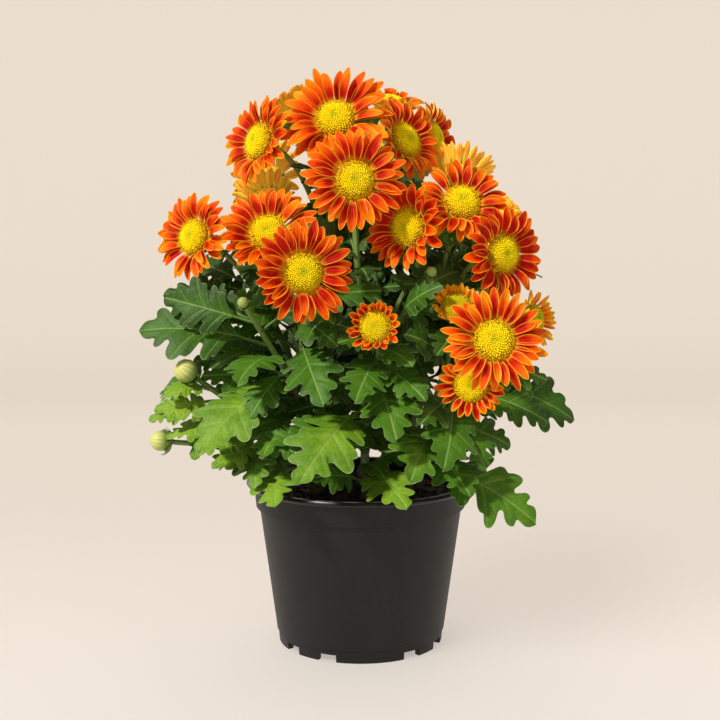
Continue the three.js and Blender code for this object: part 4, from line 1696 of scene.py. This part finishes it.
    def dome(self, ring: np.ndarray) -> tuple[np.ndarray, np.ndarray]:
        """Give the form of the disc.

        Args:
            ring: Shares of its radius.

        Returns:
            Its heights and slopes there.
        """
        dent = self.dent * np.exp(-((ring * self.dent_sharp) ** 2))
        high = self.dome_h * (1 - ring**self.dome_power) - dent
        fall = self.dome_h * self.dome_power * ring ** (self.dome_power - 1)
        return high, (2 * self.dent_sharp**2 * ring * dent - fall) / DISC_R

    def build_disc(self, seed: float) -> None:
        """Set florets over the dome on a sunflower spiral, open ones round the outside.

        Args:
            seed: The bloom's own counter.
        """
        head = self.head
        size = head.size * head.disc
        skin = Skin(("up", "ring", "tone", "young"))
        a = np.linspace(0, 2 * math.pi, 28, endpoint=False)
        ring = np.linspace(1, 0, 8)
        high, _ = self.dome(ring)
        skirt = self.skirt_r * size
        base = [head.place(np.full_like(a, r * skirt), a, h) for r, h in zip(ring, GAP + high * size)]
        foot = head.place(np.zeros_like(a), a, np.full_like(a, GAP))
        shares = np.append(1, ring)[:, None]
        # The dome between the florets takes mostly the painted shade of their feet.
        skin.grid(np.stack([foot, *base]), closed=True, up=0.1, ring=shares, young=head.green)
        total = self.closed_florets + self.open_florets
        for i in range(total):
            share = math.sqrt((i + 0.5) / total) * self.spiral_r + stray(0.008, seed + i * 0.31)
            turn = math.radians(self.golden * i) + seed + stray(0.03, seed + i * 0.17)
            form = self.closed if i < self.closed_florets else self.opened
            self.add_floret(skin, share, turn, form, seed + i)
        disc = skin.made(f"disc_{self.number}", self.disc_finish, 80.0)
        carried(disc, f"bloom_{self.number}_disc")

    def add_floret(self, skin: Skin, share: float, turn: float, form: FloretForm, seed: float) -> None:
        """Add one floret, standing square to the dome.

        Args:
            skin: The disc's skin.
            share: Its place from the middle to the rim.
            turn: Its angle round the axis.
            form: How it is built up.
            seed: Its own counter.
        """
        head = self.head
        size = head.size * head.disc
        high, slope = (float(v) for v in self.dome(np.array(share)))
        lean = math.atan(-slope) * self.lean
        girth = mix(*self.girths, share) * size * (1 + stray(0.15, seed + 0.4))
        around = np.linspace(0, 2 * math.pi, form.sides, endpoint=False) + seed
        rings, up = [], []
        for k, (rise, wide, value) in enumerate(form.rings):
            if k == form.lobed:
                wide = wide * np.tile(form.lobes, form.sides // 2)
            rise = rise * size * (1 + stray(0.2, seed + 0.5))
            outwards = girth * wide * np.cos(around)
            sideways = girth * wide * np.sin(around)
            r = share * DISC_R * size + outwards * math.cos(lean) + rise * math.sin(lean)
            h = GAP + high * size - outwards * math.sin(lean) + rise * math.cos(lean)
            rings.append(head.place(np.hypot(r, sideways), turn + np.arctan2(sideways, r), h))
            up.append(np.full(form.sides, float(value)))
        last = np.repeat(rings[-1].mean(axis=0, keepdims=True), form.sides, axis=0)
        rings.append(last + form.top * size * head.axis)
        up.append(up[-1] * form.top_up)
        own = {"ring": share, "tone": wobble(seed + 0.6), "young": head.green}
        skin.grid(np.stack(rings), closed=True, flip=True, up=np.stack(up), **own)


@dataclass
class LeafShape:
    """Cuts a leaf's outline and lays it in space.

    Attributes:
        keys: The half outline from the blade's foot to its tip: share of the length, half width, how much of
            a vein runs there, and where on the midrib that vein starts.
        across: The columns from one edge over the midrib to the other.
        few_across: The same for the leaves that weren't listed one by one.
        petiole_w: The petiole's half width.
        slope: How round the outline runs through its keys, up to 0.5.
        sway: How far the outline's keys stray along the blade, as a share of its length.
        web: How far the gaps between a broad leaf's lobes are filled, from 0 to 1.
        web_stray: The most that they are filled in the others.
        quilt_h: How far the blade swells between its veins, as a share of its length.
        ripple_h: How far its rim ripples.
        droop: How far its tip may sink.
        thick: Its thickness.
        rib_h: How much thicker the midrib is at its foot.
        rib_w: The midrib's half width.
    """

    keys: tuple[tuple[float, float, float, float], ...] = (
        (0.00, 0.018, 0.0, 0.00),
        (0.06, 0.035, 0.0, 0.02),
        (0.12, 0.075, 0.0, 0.04),
        (0.16, 0.140, 0.0, 0.055),
        (0.185, 0.215, 0.2, 0.07),
        (0.215, 0.265, 0.7, 0.085),
        (0.25, 0.275, 0.2, 0.10),
        (0.265, 0.258, 0.0, 0.115),
        (0.29, 0.288, 0.3, 0.13),
        (0.335, 0.325, 1.0, 0.145),
        (0.375, 0.310, 0.4, 0.16),
        (0.39, 0.265, 0.1, 0.18),
        (0.385, 0.205, 0.0, 0.20),
        (0.375, 0.150, 0.0, 0.22),
        (0.395, 0.122, 0.0, 0.245),
        (0.425, 0.140, 0.0, 0.27),
        (0.445, 0.205, 0.0, 0.29),
        (0.475, 0.270, 0.2, 0.31),
        (0.515, 0.302, 0.7, 0.33),
        (0.545, 0.290, 0.1, 0.35),
        (0.565, 0.288, 0.1, 0.365),
        (0.60, 0.328, 0.3, 0.38),
        (0.65, 0.345, 1.0, 0.40),
        (0.69, 0.320, 0.4, 0.42),
        (0.70, 0.272, 0.1, 0.44),
        (0.69, 0.215, 0.0, 0.465),
        (0.675, 0.160, 0.0, 0.49),
        (0.69, 0.125, 0.0, 0.52),
        (0.72, 0.130, 0.0, 0.55),
        (0.75, 0.170, 0.1, 0.575),
        (0.785, 0.205, 0.4, 0.60),
        (0.825, 0.210, 0.9, 0.625),
        (0.85, 0.185, 0.3, 0.65),
        (0.85, 0.145, 0.0, 0.68),
        (0.845, 0.110, 0.0, 0.71),
        (0.865, 0.095, 0.0, 0.745),
        (0.895, 0.105, 0.2, 0.78),
        (0.93, 0.110, 0.5, 0.82),
        (0.962, 0.090, 0.2, 0.86),
        (0.985, 0.052, 0.2, 0.90),
        (0.998, 0.020, 0.5, 0.94),
        (1.00, 0.0, 1.0, 0.97),
    )
    across: tuple[float, ...] = (-1, -0.88, -0.62, -0.3, 0, 0.3, 0.62, 0.88, 1)
    few_across: tuple[float, ...] = (-1, -0.55, 0, 0.55, 1)
    petiole_w: float = 1.0
    slope: float = 0.44
    sway: float = 0.012
    web: float = 0.5
    web_stray: float = 0.2
    quilt_h: float = 0.011
    ripple_h: float = 0.024
    droop: float = 0.05
    thick: float = 0.38
    rib_h: float = 1.2
    rib_w: float = 0.9

    def side_outline(self, seed: float, web: float, steps: int) -> np.ndarray:
        """Give one side's outline, rounded and a little different for each leaf.

        Args:
            seed: The leaf side's own counter.
            web: How far the blade fills the gaps between its lobes, from 0 to 1.
            steps: Points for each stretch between keys.

        Returns:
            Rows of share, half width, vein and vein start.
        """
        keys = np.array(self.keys)
        n = len(keys)
        share = keys[:, 0].copy()
        full = 0.33 * np.sin(math.pi * share**0.8) ** 0.8
        swell = 0.06 * np.sin(share * 9 + seed * 2.3) + 0.04 * np.sin(share * 21 + seed * 5.1)
        keys[:, 1] = mix(keys[:, 1], np.maximum(keys[:, 1], full), web) * (1 + swell)
        keys[1:-1, 0] += self.sway * np.sin(share[1:-1] * 13 + seed * 3.7)
        before = np.vstack([2 * keys[0] - keys[1], keys[:-1]])
        after = np.vstack([keys[1:], 2 * keys[-1] - keys[-2]])
        slope = (after - before) * self.slope
        rows = []
        for i in range(n - 1):
            for k in range(steps):
                t = k / steps
                h00, h10 = 2 * t**3 - 3 * t**2 + 1, t**3 - 2 * t**2 + t
                h01, h11 = -2 * t**3 + 3 * t**2, t**3 - t**2
                rows.append(h00 * keys[i] + h10 * slope[i] + h01 * keys[i + 1] + h11 * slope[i + 1])
        rows.append(keys[-1])
        out = np.array(rows)
        out[:, 3] = np.maximum.accumulate(out[:, 3])
        out[:, 1:3] = np.maximum(out[:, 1:3], 0)
        return out

    def add_to(self, skin: Skin, leaf: Leaf, tone: float, steps: int = 2) -> None:
        """Lay one leaf in a skin.

        Args:
            skin: The skin.
            leaf: The leaf.
            tone: How light it is, from 0 to 1.
            steps: Points for each stretch between the outline's keys.
        """
        length = float(np.linalg.norm(leaf.tip - leaf.base))
        along = (leaf.tip - leaf.base) / length
        outward = leaf.base + leaf.tip
        outward = unit(np.array([outward[0], outward[1], 0.0]))
        if leaf.placed:
            outward = unit(outward + FRONT * FACE_FRONT)
        face = outward + UP * LEAF_LIGHT
        face = turned(unit(face - along * (face @ along)), along, leaf.roll)
        side = np.cross(face, along)
        start = length - leaf.blade
        web = self.web if leaf.seed in BROAD_LEAVES else self.web_stray * wobble(leaf.seed + 0.91)
        sides = [self.side_outline(leaf.seed * 3 + k, web, steps) for k in (0, 1)]
        t = np.array(self.across if leaf.placed else self.few_across)
        reach = np.abs(t)
        stalk = np.linspace(0, 1, 5)[:-1] * start
        wide = np.full_like(stalk, self.petiole_w) * np.linspace(1.3, 0.9, 4)
        parts = []
        for outline in sides:
            rim_d = np.concatenate([stalk, start + outline[:, 0] * leaf.blade])
            rim_w = np.concatenate([wide, np.maximum(outline[:, 1] * leaf.blade, 0)])
            root_d = np.concatenate([stalk, start + outline[:, 3] * leaf.blade])
            vein = np.concatenate([np.zeros(4), outline[:, 2]])
            parts.append((rim_d, rim_w, root_d, vein))
        left, right = ([part[:, None] for part in side_parts] for side_parts in parts)
        rim_d, rim_w, vein = (np.where(t < 0, left[k], right[k]) for k in (0, 1, 3))
        root_d = left[2]
        d = root_d + (rim_d - root_d) * reach**0.8
        w = np.sign(t) * rim_w * reach
        x = np.clip(d / length, 0, 1)
        u = np.clip((d - start) / leaf.blade, 0, 1)
        rise = LEAF_ARCH * length * x * (1 - x) + np.abs(w) * LEAF_FOLD - LEAF_CURL * w * w / leaf.blade
        quilt = (1 - vein) * np.sin(math.pi * np.clip(reach, 0, 1)) * self.quilt_h
        ripple = np.sin(u * 11 + leaf.seed * 2.1 + np.sign(t)) * reach**2 * self.ripple_h
        droop = self.droop * u**3 * wobble(leaf.seed + 0.2)
        rise = rise + ((quilt + ripple) * (u > 0) - droop) * leaf.blade
        rib = self.thick + self.rib_h * (1 - x) * np.exp(-((w / self.rib_w) ** 2))
        rib = rib * (reach < 1)
        values = {
            "vein": vein,
            "off": np.abs(w),
            "reach": np.broadcast_to(reach, d.shape),
            "tone": tone,
        }
        spots = leaf.base + d[..., None] * along + w[..., None] * side
        skin.blade(spots + rise[..., None] * face, spots + (rise - rib)[..., None] * face, **values)


@dataclass(frozen=True)
class BractRow:
    """One row of bracts under a bloom or bud.

    Attributes:
        count: How many there are.
        length: Their length, in a bud as a share of its radius.
        foot_r: Their feet's distance from the axis, in a bud as a share of its radius.
        foot_h: Their feet's height over the neck.
        start: Their pitch at the foot, in degrees.
        end: Their pitch at the tip.
        tone: How light they are, from 0 to 1.
    """

    count: int
    length: float
    foot_r: float
    foot_h: float
    start: float
    end: float
    tone: float


@dataclass
class LeafyStem:
    """One stem with its stalks, bracts and buds, and its leaves.

    Attributes:
        name: The stem's name, as in its node.
        paths: Every stem and stalk.
        leaves: Its leaves.
        stalk_finish: The stalks' material.
        leaf_finish: The leaves' material.
        shape: What cuts the leaves.
        sides: The corners of a stem's ring.
        flare: How a stalk widens into the calyx: share of its height and radius.
        calyx: The rows of bracts under a bloom.
        sheath: The rows of bracts round a bud.
        bract_w: A calyx bract's width.
        bud_ribs: How many young petals a bud shows.
    """

    name: str
    paths: dict[str, Path]
    leaves: list[Leaf]
    stalk_finish: bpy.types.Material
    leaf_finish: bpy.types.Material
    shape: LeafShape = field(default_factory=LeafShape)
    sides: int = 10
    flare: tuple[tuple[float, float], ...] = ((0.35, 2.6), (0.57, 5.4), (0.8, 7.2), (1.0, 8.0))
    calyx: tuple[BractRow, ...] = (
        BractRow(11, 9.6, 2.2, 1.6, 14, 60, 0.45),
        BractRow(11, 7.2, 1.8, 0.6, 20, 50, 0.7),
    )
    sheath: tuple[BractRow, ...] = (
        BractRow(8, 1.45, 0.25, -0.02, -6, math.degrees(1.45) - 4, 0.35),
        BractRow(8, 1.05, 0.25, -0.02, -6, math.degrees(1.05) - 4, 0.55),
    )
    bract_w: float = 3.6
    bud_ribs: int = 14

    def build(self) -> None:
        """Make the stalks and the leaves."""
        self.build_stalks()
        self.build_leaves()

    def build_stalks(self) -> None:
        """Draw the stem and its stalks, each up to its bloom or bud."""
        skin = Skin(("rise", "ripe", "tone", "side", "across", "along", "edge"))
        leader = STEMS[self.name][1]
        for key, head in HEADS.items():
            if head.on != self.name:
                continue
            self.add_stalk(skin, key, head, key == leader)
            if head.cup is None:
                self.add_bud(skin, head)
            else:
                self.add_calyx(skin, key, head)
        stalks = skin.made(f"stalks_{self.name}", self.stalk_finish, 60.0)
        carried(stalks, f"stem_{self.name}")

    def add_stalk(self, skin: Skin, key: str, head: Head, is_main: bool) -> None:
        """Draw one stem or stalk as a ribbed tube.

        Args:
            skin: The stem's skin.
            key: What the stalk carries.
            head: That bloom's or bud's place.
            is_main: Whether it is the stem itself.
        """
        path = self.paths[key]
        shares = np.linspace(0, 1, 40 if is_main else 20)
        points = [path.point(t) for t in shares]
        tangents = [path.tangent(t) for t in shares]
        radii = list(np.linspace(STEM_R if is_main else STALK_R + 0.2, STALK_R, len(shares)))
        if not is_main:
            radii[0] *= 1.25
        if is_main:
            points.insert(0, points[0] * [1, 1, 0] + UP * ROOT_Z)
            tangents.insert(0, UP)
            radii.insert(0, STEM_R)
        if head.cup is not None:
            for d, r in self.flare:
                points.append(head.neck() + head.axis * d * CALYX_H)
                tangents.append(head.axis)
                radii.append(r * head.size)
        rings = rings_along(np.array(points), np.array(tangents), np.array(radii), self.sides)
        rise = (np.array(points)[:, 2] - COLLAR_Z) / 200
        skin.tube(rings, rise=rise[:, None] + 0.2 * (not is_main), tone=0.35 + 0.5 * rise[:, None])

    def add_calyx(self, skin: Skin, key: str, head: Head) -> None:
        """Lay rows of pointed bracts under a bloom.

        Args:
            skin: The stem's skin.
            key: The bloom's key.
            head: Its place.
        """
        seed = float(len(key)) + head.at[0]
        neck_h = DRUM_FOOT * head.size - GAP - CALYX_H
        for step, row in enumerate(self.calyx):
            for i in range(row.count):
                n = seed + step * 17 + i
                PetalForm(
                    turn=2 * math.pi * (i + 0.5 * step + stray(0.15, n)) / row.count,
                    foot=(row.foot_r * head.size, neck_h + row.foot_h),
                    length=row.length * head.size * (1 + stray(0.1, n + 0.1)),
                    width=self.bract_w * head.size,
                    start=row.start,
                    end=row.end,
                    channel=-0.1,
                    pointed=True,
                    thick=0.4,
                ).add_to(skin, head, 6, 5, rise=1.0, tone=row.tone + stray(0.1, n + 0.2))

    def add_bud(self, skin: Skin, head: Head) -> None:
        """Close young petals into a ribbed ball with bracts round its foot.

        Args:
            skin: The stem's skin.
            head: The bud's place.
        """
        around = np.linspace(0, 2 * math.pi, 28, endpoint=False)
        across = unit(np.cross(UP, head.axis))
        upward = np.cross(head.axis, across)
        rings, ripe = [], []
        ribs = np.cos(around * self.bud_ribs)
        for v in np.linspace(0, 1, 11):
            angle = math.pi * (0.04 + 0.92 * v)
            r = head.r * math.sin(angle) * (1 + 0.05 * smooth(0.35, 0.8, v) * ribs) * 0.98
            middle = head.neck() + head.axis * head.r * (1 - math.cos(angle))
            spread = (r * np.cos(around))[:, None] * across + (r * np.sin(around))[:, None] * upward
            rings.append(middle + spread)
            ripe.append(smooth(0.3, 0.75, v) * (0.7 + 0.25 * ribs) * (0.3 if head.r < 5 else 1))
        skin.tube(np.stack(rings), rise=1.0, tone=0.7, ripe=np.stack(ripe))
        offset = DISC_H + GAP
        for step, row in enumerate(self.sheath):
            for i in range(row.count):
                n = step * 17 + i + head.at[2]
                PetalForm(
                    turn=2 * math.pi * (i + 0.5 * step) / row.count,
                    foot=(row.foot_r * head.r, offset - 2 * head.r + row.foot_h * head.r),
                    length=row.length * head.r * (1 + stray(0.1, n)),
                    width=0.72 * head.r,
                    start=row.start,
                    end=row.end,
                    channel=-0.08,
                    pointed=True,
                    thick=0.3,
                ).add_to(skin, head, 7, 5, rise=1.0, tone=row.tone)

    def build_leaves(self) -> None:
        """Lay the stem's leaves, lighter low down."""
        skin = Skin(("vein", "off", "reach", "tone", "side"))
        for leaf in self.leaves:
            tone = leaf.tone
            if tone is None:
                low = 1 - smooth(90, 200, np.array(leaf.tip[2]))
                tone = 0.22 + 0.25 * float(low) + stray(0.15, leaf.seed + 0.6)
            self.shape.add_to(skin, leaf, min(max(tone, 0), 1), 2 if leaf.placed else 1)
        leaves = skin.made(f"leaves_{self.name}", self.leaf_finish, 55.0)
        carried(leaves, f"stem_{self.name}")


@dataclass(frozen=True)
class Sun:
    """A distant light.

    Attributes:
        name: Its name.
        at: Where it stands, as degrees round from the front towards +X and up.
        spread: How wide it looks, in degrees.
        power: Its strength.
        colour: Its colour.
        shadows: Whether things throw shadows in it.
    """

    name: str
    at: tuple[float, float]
    spread: float
    power: float
    colour: Colour
    shadows: bool = True

    def made(self) -> bpy.types.Object:
        """Hang the light.

        Returns:
            The light.
        """
        lamp = bpy.data.lights.new(self.name, "SUN")
        lamp.angle = math.radians(self.spread)
        lamp.energy = self.power
        lamp.color = self.colour
        lamp.use_shadow = self.shadows
        light = bpy.data.objects.new(self.name, lamp)
        turn, up = self.at
        light.rotation_euler = (math.radians(90 - up), 0, math.radians(turn))
        bpy.context.scene.collection.objects.link(light)
        return light


@dataclass
class Studio:
    """The pale sweep, the lights and the camera.

    The plant is lit hard from the upper left. The sweep has a soft light of its own, so that it stays even.
    Its colour holds painted light and shade: lighter next to the camera, darkest in the bend.
    The sizes are in metres.

    Attributes:
        near_floor_painted_light: The sweep next to the camera, painted lighter as a pool of light.
        far_floor_painted_shade: The sweep behind the plant, painted darker as shade.
        bend: The sweep where it starts to rise, painted darkest as the shade in the bend.
        wall: The sweep's upper part, painted darker as shade.
        lens: The camera's focal length in millimetres.
        shift: How far the frame is moved sideways, as a share of its width.
        eye: Where the camera stands.
        pitch: How far it looks down, in degrees.
        half: Half the floor's width.
        wall_y: How far behind the plant the wall is.
        wall_h: The wall's height.
        fold_r: The bend's radius.
        room: The strength of the light from all round.
        room_colour: Its colour.
        plant_suns: The lights that reach the plant and not the sweep.
        sweep_suns: The lights that reach the sweep alone.
    """

    # The sweep's colours hold painted light and shade, lighter next to the camera and darkest in the bend.
    near_floor_painted_light: Colour = (0.98, 0.915, 0.86)
    far_floor_painted_shade: Colour = (0.80, 0.735, 0.665)
    bend: Colour = (0.70, 0.632, 0.555)
    wall: Colour = (0.75, 0.678, 0.592)
    lens: float = 60.65
    shift: float = -0.0008
    eye: tuple[float, float, float] = (0.0, -0.735, 0.254)
    pitch: float = 6.29
    half: float = 3.0
    wall_y: float = 1.6
    wall_h: float = 3.0
    fold_r: float = 1.0
    room: float = 0.24
    room_colour: Colour = (1.0, 0.96, 0.91)
    plant_suns: tuple[Sun, ...] = (
        Sun("key", (-50, 42), 6, 3.75, (1.0, 0.965, 0.91)),
        Sun("fill", (35, 15), 60, 0.5, (1.0, 0.98, 0.96)),
    )
    sweep_suns: tuple[Sun, ...] = (
        Sun("sweep light", (-40, 40), 30, 2.4, (1.0, 0.985, 0.965), shadows=False),
        Sun("sweep shadow", (-42, 45), 30, 0.55, (1.0, 0.985, 0.965)),
    )

    def build(self) -> None:
        """Set up the studio."""
        sweep = self.build_sweep()
        self.hang(self.plant_suns, sweep, "EXCLUDE")
        self.hang(self.sweep_suns, sweep, "INCLUDE")
        world = bpy.data.worlds.new("room")
        bpy.context.scene.world = world
        world.use_nodes = True
        background = world.node_tree.nodes["Background"]
        background.inputs[0].default_value = (*self.room_colour, 1.0)
        background.inputs[1].default_value = self.room
        self.set_camera()
        bpy.context.scene.view_settings.view_transform = "Standard"

    def build_sweep(self) -> bpy.types.Object:
        """Fold one sheet from floor to wall with a soft bend.

        Returns:
            The sweep.
        """
        bpy.ops.object.select_all(action="DESELECT")
        bpy.ops.mesh.primitive_plane_add(size=2 * self.half, location=(0, self.wall_y - self.half, 0))
        sweep = bpy.context.object
        sweep.name = "sweep"
        bpy.ops.object.transform_apply(location=True)
        bpy.ops.object.mode_set(mode="EDIT")
        bpy.ops.mesh.select_all(action="DESELECT")
        bpy.ops.mesh.select_mode(type="EDGE")
        bpy.ops.object.mode_set(mode="OBJECT")
        for edge in sweep.data.edges:
            edge.select = all(sweep.data.vertices[v].co.y > self.wall_y - 0.01 for v in edge.vertices)
        bpy.ops.object.mode_set(mode="EDIT")
        bpy.ops.mesh.extrude_region_move(TRANSFORM_OT_translate={"value": (0, 0, self.wall_h)})
        bpy.ops.object.mode_set(mode="OBJECT")
        bevel = sweep.modifiers.new("bend", "BEVEL")
        bevel.width = self.fold_r
        bevel.segments = 24
        bevel.limit_method = "ANGLE"
        bpy.ops.object.modifier_apply(modifier=bevel.name)
        bpy.ops.object.shade_smooth()
        g = Graph("paper sweep")
        place = g.node("ShaderNodeSeparateXYZ", None, {0: g.value("ShaderNodeTexCoord", out="Object")})
        depth, height = Wire(g, place.outputs[1]), Wire(g, place.outputs[2])
        # Painted light and shade: lighter next to the camera, darker towards the bend, a little lighter up
        # the wall.
        colour = g.blend(self.near_floor_painted_light, self.far_floor_painted_shade, depth.rises(-0.3, 0.5))
        colour = g.blend(colour, self.bend, depth.rises(0.45, 0.9) * 0.45)
        colour = g.blend(colour, self.bend, height.rises(0.0, 0.04))
        colour = g.blend(colour, self.wall, height.rises(0.25, 0.8))
        fibre = g.noise(900.0, 2.0, 0.5)
        colour = g.blend(colour, (1.0, 1.0, 1.0), fibre.rises(0.5, 0.8) * 0.03)
        sweep.data.materials.append(g.surface(Base_Color=colour, Roughness=0.9, Specular_IOR_Level=0.1))
        return sweep

    def hang(self, suns: tuple[Sun, ...], sweep: bpy.types.Object, state: str) -> None:
        """Hang lights that reach only the sweep, or all but the sweep.

        Args:
            suns: The lights.
            sweep: The sweep.
            state: INCLUDE for lights that reach only the sweep, EXCLUDE for the others.
        """
        reach = bpy.data.collections.new("lit " + state.lower())
        reach.objects.link(sweep)
        reach.collection_objects[0].light_linking.link_state = state
        for sun in suns:
            sun.made().light_linking.receiver_collection = reach

    def set_camera(self) -> None:
        """Stand the camera where the photograph was taken from."""
        camera = bpy.data.cameras.new("camera")
        camera.lens = self.lens
        camera.shift_x = self.shift
        obj = bpy.data.objects.new("camera", camera)
        obj.location = self.eye
        obj.rotation_euler = (math.radians(90 - self.pitch), 0, 0)
        bpy.context.scene.collection.objects.link(obj)
        bpy.context.scene.camera = obj


def main() -> None:
    """Build every piece in order."""
    logging.basicConfig(level=logging.INFO, format="%(message)s")
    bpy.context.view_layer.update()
    Studio().build()
    petal, disc = PetalFinish().made(), DiscFinish().made()
    leaf, stalk = LeafFinish().made(), StalkFinish().made()
    Pot(PotFinish().made()).build()
    Soil(SoilFinish().made()).build()
    for key, head in HEADS.items():
        if head.cup is not None:
            Bloom(key[1:], head, petal, disc).build()
    paths = all_paths()
    foliage = Foliage(paths)
    built = foliage.built()
    added = foliage.added()
    log.info("%d leaves of the solids, %d added", len(built), len(added))
    for name in STEMS:
        own = [x for x in built + added if paths[x.path].stem == name]
        LeafyStem(name, paths, own, stalk, leaf).build()
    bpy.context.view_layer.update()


if __name__ == "__main__":
    main()
